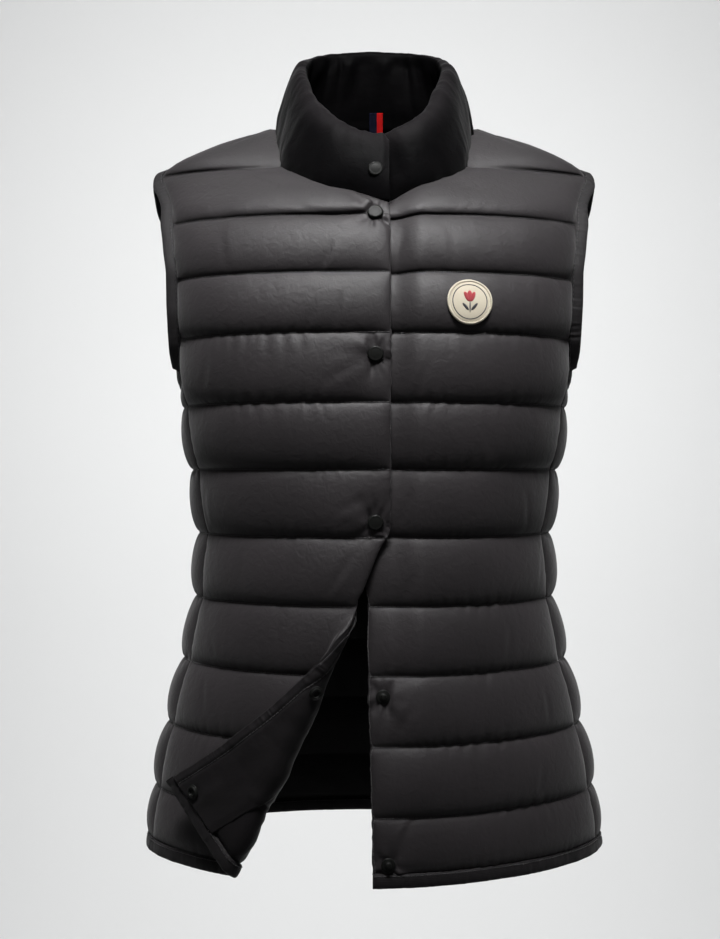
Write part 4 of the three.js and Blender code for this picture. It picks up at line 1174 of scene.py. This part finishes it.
def build_armhole(side, name):
    seam = armhole_loops(side)
    tangent = unit(np.roll(seam, -9, axis=0) - np.roll(seam, 9, axis=0))
    inward = unit((ARM_CENTRE - seam) * [0, 1, 1])
    share = np.linspace(0, 1, len(seam), endpoint=False)
    behind = smooth(0.5, 0.62, share) * (1 - smooth(0.95, 1, share))
    sideways = ((0.3 + 0.62 * smooth(-222, -185, seam[:, 2])) * (1 - 0.5 * behind))[:, None]
    reach = inward * (1 - sideways) + np.array([side, 0, 0]) * sideways
    reach = unit(reach - tangent * (reach * tangent).sum(-1, keepdims=True))
    thick = np.cross(tangent, reach)
    run = run_along(seam)
    angle = np.linspace(0, 2 * math.pi, ARM_ROUND, endpoint=False)
    across = ARM_BAND_WIDTH / 2 - (ARM_BAND_WIDTH / 2 - 0.3) * np.cos(angle)
    bulge = 2.0 * np.sign(np.sin(angle)) * np.abs(np.sin(angle)) ** 0.7
    gathers = noise(run / 2.3, 0 * run, 121) + 0.6 * noise(run / 4.7, 0 * run, 122)
    strength = 0.45 + 0.35 * noise(run / 40, 0 * run, 123)
    ripple = (gathers * strength)[:, None] * (0.35 + 0.65 * np.exp(-across[None] / 4))
    sag = 0.7 * noise(run / 26, 0 * run, 124)[:, None]
    tip = np.exp(-((np.minimum(share, 1 - share) * run[-1]) / 14) ** 2)[:, None]
    across = (across - 0.8) * (1 - 0.3 * tip)
    reach = unit(reach - np.array([0, 0, 0.35]) * tip)
    loops = seam[:, None] + reach[:, None] * (across + sag * across / ARM_BAND_WIDTH)[..., None]
    loops = loops + thick[:, None] * (bulge[None] * (1 + 0.25 * ripple) + ripple * 0.7)[..., None]
    obj = tube_object(name, loops, True, 28.0, (BINDING,))
    finish_trim(obj, name)
    stitch_object(name + "_stitches", band_stitches(loops, (4, 20)), THREAD)


build_armhole(-1, "armhole_binding_right")
build_armhole(1, "armhole_binding_left")


def hem_band(name, along, place, scale_along):
    """A rounded tape below the last stitched row. place takes along, z and out."""
    angle = np.linspace(0, 2 * math.pi, HEM_ROUND, endpoint=False)
    half_drop = (HEM_SEAM_Z - HEM_EDGE_Z) / 2
    levels = HEM_SEAM_Z + 0.6 - half_drop + half_drop * np.sign(np.cos(angle)) * np.abs(np.cos(angle)) ** 0.8
    bulge = -SEAM_THICK / 2 + 2.7 * np.sign(np.sin(angle)) * np.abs(np.sin(angle)) ** 0.7
    run = along[:, None]
    ripple = 0.3 * noise(run / 3.2, levels[None] / 9, 141) + 0.4 * noise(run / 17, 0 * levels[None], 142)
    loops = place(run * scale_along(levels)[None], np.broadcast_to(levels, (len(along), HEM_ROUND)),
                  bulge[None] + ripple * np.sign(bulge + SEAM_THICK / 2)[None])
    obj = tube_object(name, loops, False, 30.0, (BINDING,))
    finish_trim(obj, name)
    stitch_object(name + "_stitches", band_stitches(loops, (3, 17)), THREAD)


def build_hems():
    ones = lambda levels: np.ones_like(levels)
    right = np.linspace(front_inner(HEM_SEAM_Z, RIGHT_EDGE), front_outer(HEM_SEAM_Z), 260)
    hem_band("hem_binding_front_right", right, on_right_front, ones)
    left = np.linspace(front_inner(HEM_SEAM_Z, LEFT_EDGE), front_outer(HEM_SEAM_Z), 220)
    hem_band("hem_binding_front_left", left, on_left_front, ones)
    seam = float(ring_length(HEM_SEAM_Z)) - front_outer(HEM_SEAM_Z) + 2 * SEAM_LAP
    full = ring_length(HEM_SEAM_Z)
    back = np.linspace(-seam, seam, 520)
    hem_band("hem_binding_back", back, on_back, lambda levels: ring_length(levels) / full)


build_hems()


# The facing on the turned-back corner


TOPSTITCH = 7.0
FACING_BRIDGE = -2.7


def build_facing():
    heights = panel_heights(1.0)
    heights = heights[heights < -400]
    heights = np.sort(np.concatenate([heights, (heights[1:] + heights[:-1]) / 2]))
    columns = 56
    start = np.array([front_inner(z, RIGHT_EDGE) for z in heights])[:, None]
    share = np.linspace(0, 1, columns)[None]
    along = start + 0.8 + FACING_WIDTH * share
    z = np.repeat(heights[:, None], columns, axis=1)
    under = lining_out(along, z, 31, 0.65)
    bridged = np.minimum(under, FACING_BRIDGE + 0.4 * noise(along / 20, z / 30, 165))
    hem = np.minimum(share, 1 - share)
    swell = 1.0 * smooth(0, 0.12, hem) + 0.5 * noise(along / 9, z / 14, 161) * smooth(0, 0.2, hem)
    from_edge = share * FACING_WIDTH
    pucker = 0.5 * noise(z / 5, along / 22, 162) * np.exp(-hem * FACING_WIDTH / 7)
    pucker = pucker + 1.1 * np.abs(noise(z / 2.4, along / 40, 163)) * (1 - smooth(3, 9, from_edge))
    drag = 0.5 * noise(z / 6 + along / 20, along / 16, 164) * smooth(5, 9, from_edge)
    pucker = pucker + drag * np.exp(-from_edge / 16)
    groove = 1.0 * np.exp(-((from_edge - TOPSTITCH) / 1.1) ** 2)
    top = bridged - 0.9 - swell - pucker + groove
    outside = on_right_front(along, z, under - 0.3)
    inside = on_right_front(along, z, top)
    k = int(round(TOPSTITCH / FACING_WIDTH * (columns - 1)))
    line, above = (on_right_front(along[:, k], z[:, k], top[:, k] - d) for d in (0.2, 1.2))
    stitch_object("facing_stitches", [(line, above - line)], THREAD)
    uv = np.stack([along, z], axis=-1)
    obj = wall_object("facing_front_right", outside, inside, uv, materials=(FACING,))
    finish_trim(obj, "facing_front_right")


build_facing()


# Snaps

CAP_PROFILE = [
    (0, 0), (5.6, 0), (6.2, 0.25), (6.35, 0.8), (6.1, 1.4), (5.5, 1.9), (4.9, 2.15),
    (4.5, 2.05), (3.6, 2.2), (2, 2.35), (0, 2.4),
]
SOCKET_PROFILE = [
    (0, 0), (5.3, 0), (5.6, 0.3), (5.6, 0.8), (5.2, 1.1), (4.6, 1.2), (4.2, 1.9),
    (3.8, 2.2), (3.1, 2.2), (2.7, 2.0), (2.5, 1.2), (2.4, 0.8), (1, 0.7), (0, 0.7),
]
STUD_PROFILE = [
    (0, 0), (5.3, 0), (5.6, 0.3), (5.5, 0.7), (4.8, 1.0), (3.2, 1.15), (2.5, 1.4),
    (2.2, 2.0), (2.45, 2.9), (2.4, 3.4), (1.9, 3.8), (0.8, 3.9), (0, 3.9),
]
LATHE_STEPS = 48


def lathe_object(name, profile, foot, axis):
    axis = unit(np.asarray(axis, dtype=float))
    side = unit(np.cross(axis, [0.3, 0.1, 1.0]))
    ahead = np.cross(axis, side)
    angle = np.linspace(0, 2 * math.pi, LATHE_STEPS, endpoint=False)
    points, faces = [foot + axis * profile[0][1]], []
    rings = profile[1:-1]
    for r, h in rings:
        points.extend(foot + axis * h + r * (side * math.cos(a) + ahead * math.sin(a)) for a in angle)
    points.append(foot + axis * profile[-1][1])
    at = lambda ring, k: 1 + ring * LATHE_STEPS + k % LATHE_STEPS
    for k in range(LATHE_STEPS):
        faces.append([0, at(0, k + 1), at(0, k), at(0, k)])
        for ring in range(len(rings) - 1):
            faces.append([at(ring, k), at(ring, k + 1), at(ring + 1, k + 1), at(ring + 1, k)])
        faces.append([at(len(rings) - 1, k), at(len(rings) - 1, k + 1), len(points) - 1, len(points) - 1])
    mesh = bpy.data.meshes.new(name)
    mesh.from_pydata([tuple(p * MM) for p in points], [], [list(dict.fromkeys(f)) for f in faces])
    mesh.polygons.foreach_set("use_smooth", [True] * len(mesh.polygons))
    obj = bpy.data.objects.new(name, mesh)
    bpy.context.scene.collection.objects.link(obj)
    outward_mesh(obj)
    obj.data.materials.append(SNAP)
    finish_trim(obj, name)


def snap_on(name, place, along, z, out, faces_out, profile):
    sign = 1 if faces_out else -1
    at = place(along, z, out)
    axis = place(along, z, out + sign) - at
    lathe_object(name, profile, at, axis)


def build_snaps():
    for k, level in enumerate(CLOSED_SNAPS):
        snap_on(f"snap_cap_{k + 2}", on_right_front, 0.0, level, SNAP_SEAT - 0.2, True, CAP_PROFILE)
    for k, (level, inset) in enumerate(OPEN_SNAPS):
        along = float(read(RIGHT_EDGE, "z", "along", level)) + inset
        deep = float(lining_out(along, level, 31, 0.65)) - 2.6
        snap_on(f"snap_socket_{k + 5}", on_right_front, along, level, deep, False, SOCKET_PROFILE)
        seat = float(read(LEFT_EDGE, "z", "along", level)) + SNAP_INSET
        snap_on(f"snap_stud_{k + 5}", on_left_front, seat, level, SNAP_SEAT - 0.2, True, STUD_PROFILE)
    low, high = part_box("snap_cap_1")
    centre = (np.array(low) + np.array(high)) / 2 / MM
    lathe_object("snap_cap_1", CAP_PROFILE, centre + np.array([0, -1.9, -0.5]), [0.0, -0.97, 0.2])


build_snaps()


# The hanger tape inside the back of the neck


def build_loop_tape():
    low, high = (np.array(corner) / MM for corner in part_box("neck_loop"))
    middle = (low[0] + high[0]) / 2
    levels = np.linspace(low[2], high[2], 40)
    across = np.linspace(-0.5, 0.5, 17)
    wave = 0.35 * np.sin(levels / 6)[:, None] + 0.2 * noise(levels[:, None] / 5, across[None] * 3, 181)
    x = middle + across[None] * (high[0] - low[0]) + 0 * levels[:, None]
    z = levels[:, None] + 0 * across[None]
    front = np.stack([x, np.full_like(x, low[1]) + wave, z], axis=-1)
    back = np.stack([x, np.full_like(x, low[1] + 1.1) + wave, z], axis=-1)
    obj = wall_object("neck_loop", front, back, np.stack([x, z], axis=-1), materials=(NAVY,))
    obj.data.materials.append(RED)
    for polygon in obj.data.polygons:
        polygon.material_index = 1 if polygon.center.x / MM > middle + 0.7 else 0
    finish_trim(obj, "neck_loop")


build_loop_tape()


# The badge: a plain round patch with a generic flower

BADGE_ALONG = 72.0
BADGE_Z = -163.0
BADGE_RADIUS = 17.5


def badge_surface():
    """A smooth stiff patch over the left front's puffed cloth: out as a function of place."""
    along, z, moved = front_left_net
    places = np.stack([(along + moved[..., 0]) - BADGE_ALONG, (z + moved[..., 1]) - BADGE_Z], axis=-1)
    near = np.hypot(places[..., 0], places[..., 1]) < BADGE_RADIUS
    u, v, out = places[near][:, 0], places[near][:, 1], moved[..., 2][near]
    basis = lambda a, b: np.stack([np.ones_like(a), a, b, a * a, a * b, b * b], axis=-1)
    fit = np.linalg.lstsq(basis(u, v), out, rcond=None)[0]
    proud = float((out - basis(u, v) @ fit).max())
    return lambda a, b: basis(np.asarray(a, float), np.asarray(b, float)) @ fit + proud * 0.8 + 0.2


def disc_object(name, surface, centre, radii, low, high, material, steps=64, rings=8, dome=0.0):
    """A flat or domed closed shape on the badge, from its outline radii."""
    angle = np.linspace(0, 2 * math.pi, steps, endpoint=False)
    share = np.linspace(0, 1, rings + 1)
    u = centre[0] + share[:, None] * radii(angle)[None] * np.cos(angle)[None]
    v = centre[1] + share[:, None] * radii(angle)[None] * np.sin(angle)[None]
    rise = high + dome * np.sqrt(np.clip(1 - share ** 2, 0, 1))[:, None] + 0 * u
    top = on_left_front(BADGE_ALONG + u, BADGE_Z + v, surface(u, v) + rise)
    under = on_left_front(BADGE_ALONG + u, BADGE_Z + v, surface(u, v) + low)
    top = np.concatenate([top, top[:, :1]], axis=1)
    under = np.concatenate([under, under[:, :1]], axis=1)
    uv = np.stack([np.concatenate([u, u[:, :1]], 1), np.concatenate([v, v[:, :1]], 1)], axis=-1)
    rows, columns = top.shape[:2]
    outer_faces, inner_faces, rims = wall_faces(rows, columns)
    points = np.concatenate([top.reshape(-1, 3), under.reshape(-1, 3)])
    faces = np.concatenate([outer_faces, inner_faces, rims])
    key = np.round(points * 500).astype(np.int64)
    _, first, back = np.unique(key, axis=0, return_index=True, return_inverse=True)
    faces = back.reshape(-1)[faces]
    mesh = bpy.data.meshes.new(name)
    clean = []
    for face in faces.tolist():
        kept = list(dict.fromkeys(face))
        if len(kept) > 2:
            clean.append(kept)
    seen = {}
    for face in clean:
        seen.setdefault(frozenset(face), []).append(face)
    clean = [group[0] for group in seen.values() if len(group) == 1]
    mesh.from_pydata([tuple(p * MM) for p in points[first]], [], clean)
    layer = mesh.uv_layers.new(name="cloth")
    flat = np.concatenate([uv.reshape(-1, 2)] * 2)[first] * MM
    corner = np.empty(len(mesh.loops), dtype=np.int32)
    mesh.loops.foreach_get("vertex_index", corner)
    layer.data.foreach_set("uv", flat[corner].astype(np.float32).ravel())
    mesh.polygons.foreach_set("use_smooth", [True] * len(mesh.polygons))
    obj = bpy.data.objects.new(name, mesh)
    bpy.context.scene.collection.objects.link(obj)
    outward_mesh(obj)
    obj.data.materials.append(material)
    return obj


def ring_cord(surface, radius, thick, twists, material, name):
    """A round stitched cord that lies on the badge."""
    count = 360
    angle = np.linspace(0, 2 * math.pi, count, endpoint=False)
    turn = np.linspace(0, 2 * math.pi, 10, endpoint=False)
    bump = thick * (1 + 0.12 * np.sin(twists * angle[:, None] + turn[None]))
    r = radius + bump * np.cos(turn)[None]
    lift = bump * np.sin(turn)[None]
    u, v = r * np.cos(angle)[:, None], r * np.sin(angle)[:, None]
    loops = on_left_front(BADGE_ALONG + u, BADGE_Z + v, surface(u, v) + 0.9 + lift)
    return tube_object(name, loops, True, 6.0, (material,))


def build_badge():
    surface = badge_surface()
    circle = lambda r: (lambda a: np.full_like(a, r))
    patch = disc_object("badge", surface, (0, 0), circle(BADGE_RADIUS - 0.8), 0.0, 1.1, CREAM)
    finish_trim(patch, "badge")
    pieces = [
        ring_cord(surface, BADGE_RADIUS - 0.9, 1.0, 110, CREAM, "badge_edge"),
        ring_cord(surface, BADGE_RADIUS - 4.2, 0.45, 90, BADGE_DARK, "badge_ring"),
    ]
    petal = lambda long, wide, lean: (
        lambda a: long * wide / np.sqrt((wide * np.cos(a - lean)) ** 2 + (long * np.sin(a - lean)) ** 2))
    for k, (u, v, long, wide, lean, material) in enumerate([
        (0, 4.0, 4.6, 2.0, math.pi / 2, BADGE_RED),
        (-2.4, 3.6, 4.2, 1.6, math.radians(112), BADGE_RED),
        (2.4, 3.6, 4.2, 1.6, math.radians(68), BADGE_RED),
        (0, -4.4, 4.4, 0.55, math.pi / 2, BADGE_DARK),
        (-3.4, -4.2, 3.6, 1.1, math.radians(132), BADGE_DARK),
        (3.4, -4.2, 3.6, 1.1, math.radians(48), BADGE_DARK),
    ]):
        pieces.append(disc_object(f"badge_motif_{k + 1}", surface, (u, v), petal(long, wide, lean), 1.0, 1.15,
                                  material, steps=40, rings=5, dome=0.55))
    for piece in pieces:
        finish_trim(piece, None)


build_badge()


# The stage, light and camera


STAGE_HALF = 7.0
STAGE_DEPTH = 6.0
STAGE_TOP = 4.5
FLOOR_Z = -1.7
WALL_Y = 3.2
BEND = 1.1
BEND_STEPS = 24
# Each light, in metres and watts: name, place, target, width and height, power, spread in degrees
LIGHTS = [
    ("key_above", (0.0, -0.66, 0.96), (0, -0.09, -0.12), (1.1, 0.35), 5.3, 34),
    ("front_fill", (-0.3, -2.8, 0.5), (0, 0, -0.35), (2.4, 1.6), 0.6, 180),
    ("right_edge", (1.7, 0.2, 0.3), (0, 0, -0.35), (0.6, 1.4), 0.3, 180),
    ("left_edge", (-1.7, 0.2, 0.3), (0, 0, -0.35), (0.6, 1.4), 0.3, 180),
    ("backdrop_light", (0.0, 0.7, 0.3), (0, 3.2, 0.3), (2.7, 2.3), 86, 180),
    ("floor_light", (0.0, 0.3, 4.2), (0, 0.3, -1.7), (6.0, 6.0), 40, 180),
    ("behind_fill", (0.0, 2.2, 1.4), (0, 0.1, -0.3), (1.6, 1.0), 6, 180),
]
WORLD_COLOR = (0.78, 0.79, 0.8, 1)
WORLD_STRENGTH = 0.075


def build_stage():
    profile = [(-STAGE_DEPTH, FLOOR_Z), (WALL_Y - BEND, FLOOR_Z)]
    for k in range(1, BEND_STEPS + 1):
        angle = math.pi / 2 * k / BEND_STEPS
        profile.append((WALL_Y - BEND + BEND * math.sin(angle), FLOOR_Z + BEND - BEND * math.cos(angle)))
    profile.append((WALL_Y, STAGE_TOP))
    points = [(x, y, z) for x in (-STAGE_HALF, STAGE_HALF) for y, z in profile]
    count = len(profile)
    faces = [(k, k + 1, count + k + 1, count + k) for k in range(count - 1)]
    mesh = bpy.data.meshes.new("studio_floor")
    mesh.from_pydata(points, [], faces)
    mesh.polygons.foreach_set("use_smooth", [True] * len(faces))
    floor_object = bpy.data.objects.new("studio_floor", mesh)
    bpy.context.scene.collection.objects.link(floor_object)
    material, tree, shader = new_material("studio_paper", (0.74, 0.745, 0.745), 0.9, specular=0.1)
    place = add_node(tree, "ShaderNodeTexCoord")
    grain = add_node(tree, "ShaderNodeTexNoise", Scale=3.0, Detail=2.0)
    tree.links.new(place.outputs["Object"], grain.inputs["Vector"])
    bump = add_node(tree, "ShaderNodeBump", Strength=0.02)
    tree.links.new(grain.outputs["Fac"], bump.inputs["Height"])
    tree.links.new(bump.outputs["Normal"], shader.inputs["Normal"])
    mesh.materials.append(material)


def area_light(name, place, target, size, power, spread):
    data = bpy.data.lights.new(name, "AREA")
    data.shape = "RECTANGLE"
    data.size, data.size_y = size
    data.energy = power
    data.spread = math.radians(spread)
    light = bpy.data.objects.new(name, data)
    light.location = place
    direction = np.array(target) - np.array(place)
    light.rotation_euler = Vector(direction).to_track_quat("-Z", "Y").to_euler()
    bpy.context.scene.collection.objects.link(light)


def build_lights():
    for row in LIGHTS:
        area_light(*row)
    world = bpy.data.worlds.new("studio")
    world.use_nodes = True
    world.node_tree.nodes["Background"].inputs["Color"].default_value = WORLD_COLOR
    world.node_tree.nodes["Background"].inputs["Strength"].default_value = WORLD_STRENGTH
    bpy.context.scene.world = world
    bpy.context.scene.view_settings.view_transform = "Standard"


CAMERA_PLACE = (-0.012, -1.150, -0.292)
CAMERA_LENS = 51.27
CAMERA_SENSOR = 36


def build_camera():
    data = bpy.data.cameras.new("camera")
    data.sensor_fit = "VERTICAL"
    data.sensor_height = CAMERA_SENSOR
    data.lens = CAMERA_LENS
    camera = bpy.data.objects.new("camera", data)
    camera.location = CAMERA_PLACE
    camera.rotation_euler = (math.pi / 2, 0, 0)
    bpy.context.scene.collection.objects.link(camera)
    bpy.context.scene.camera = camera


build_stage()
build_lights()
build_camera()
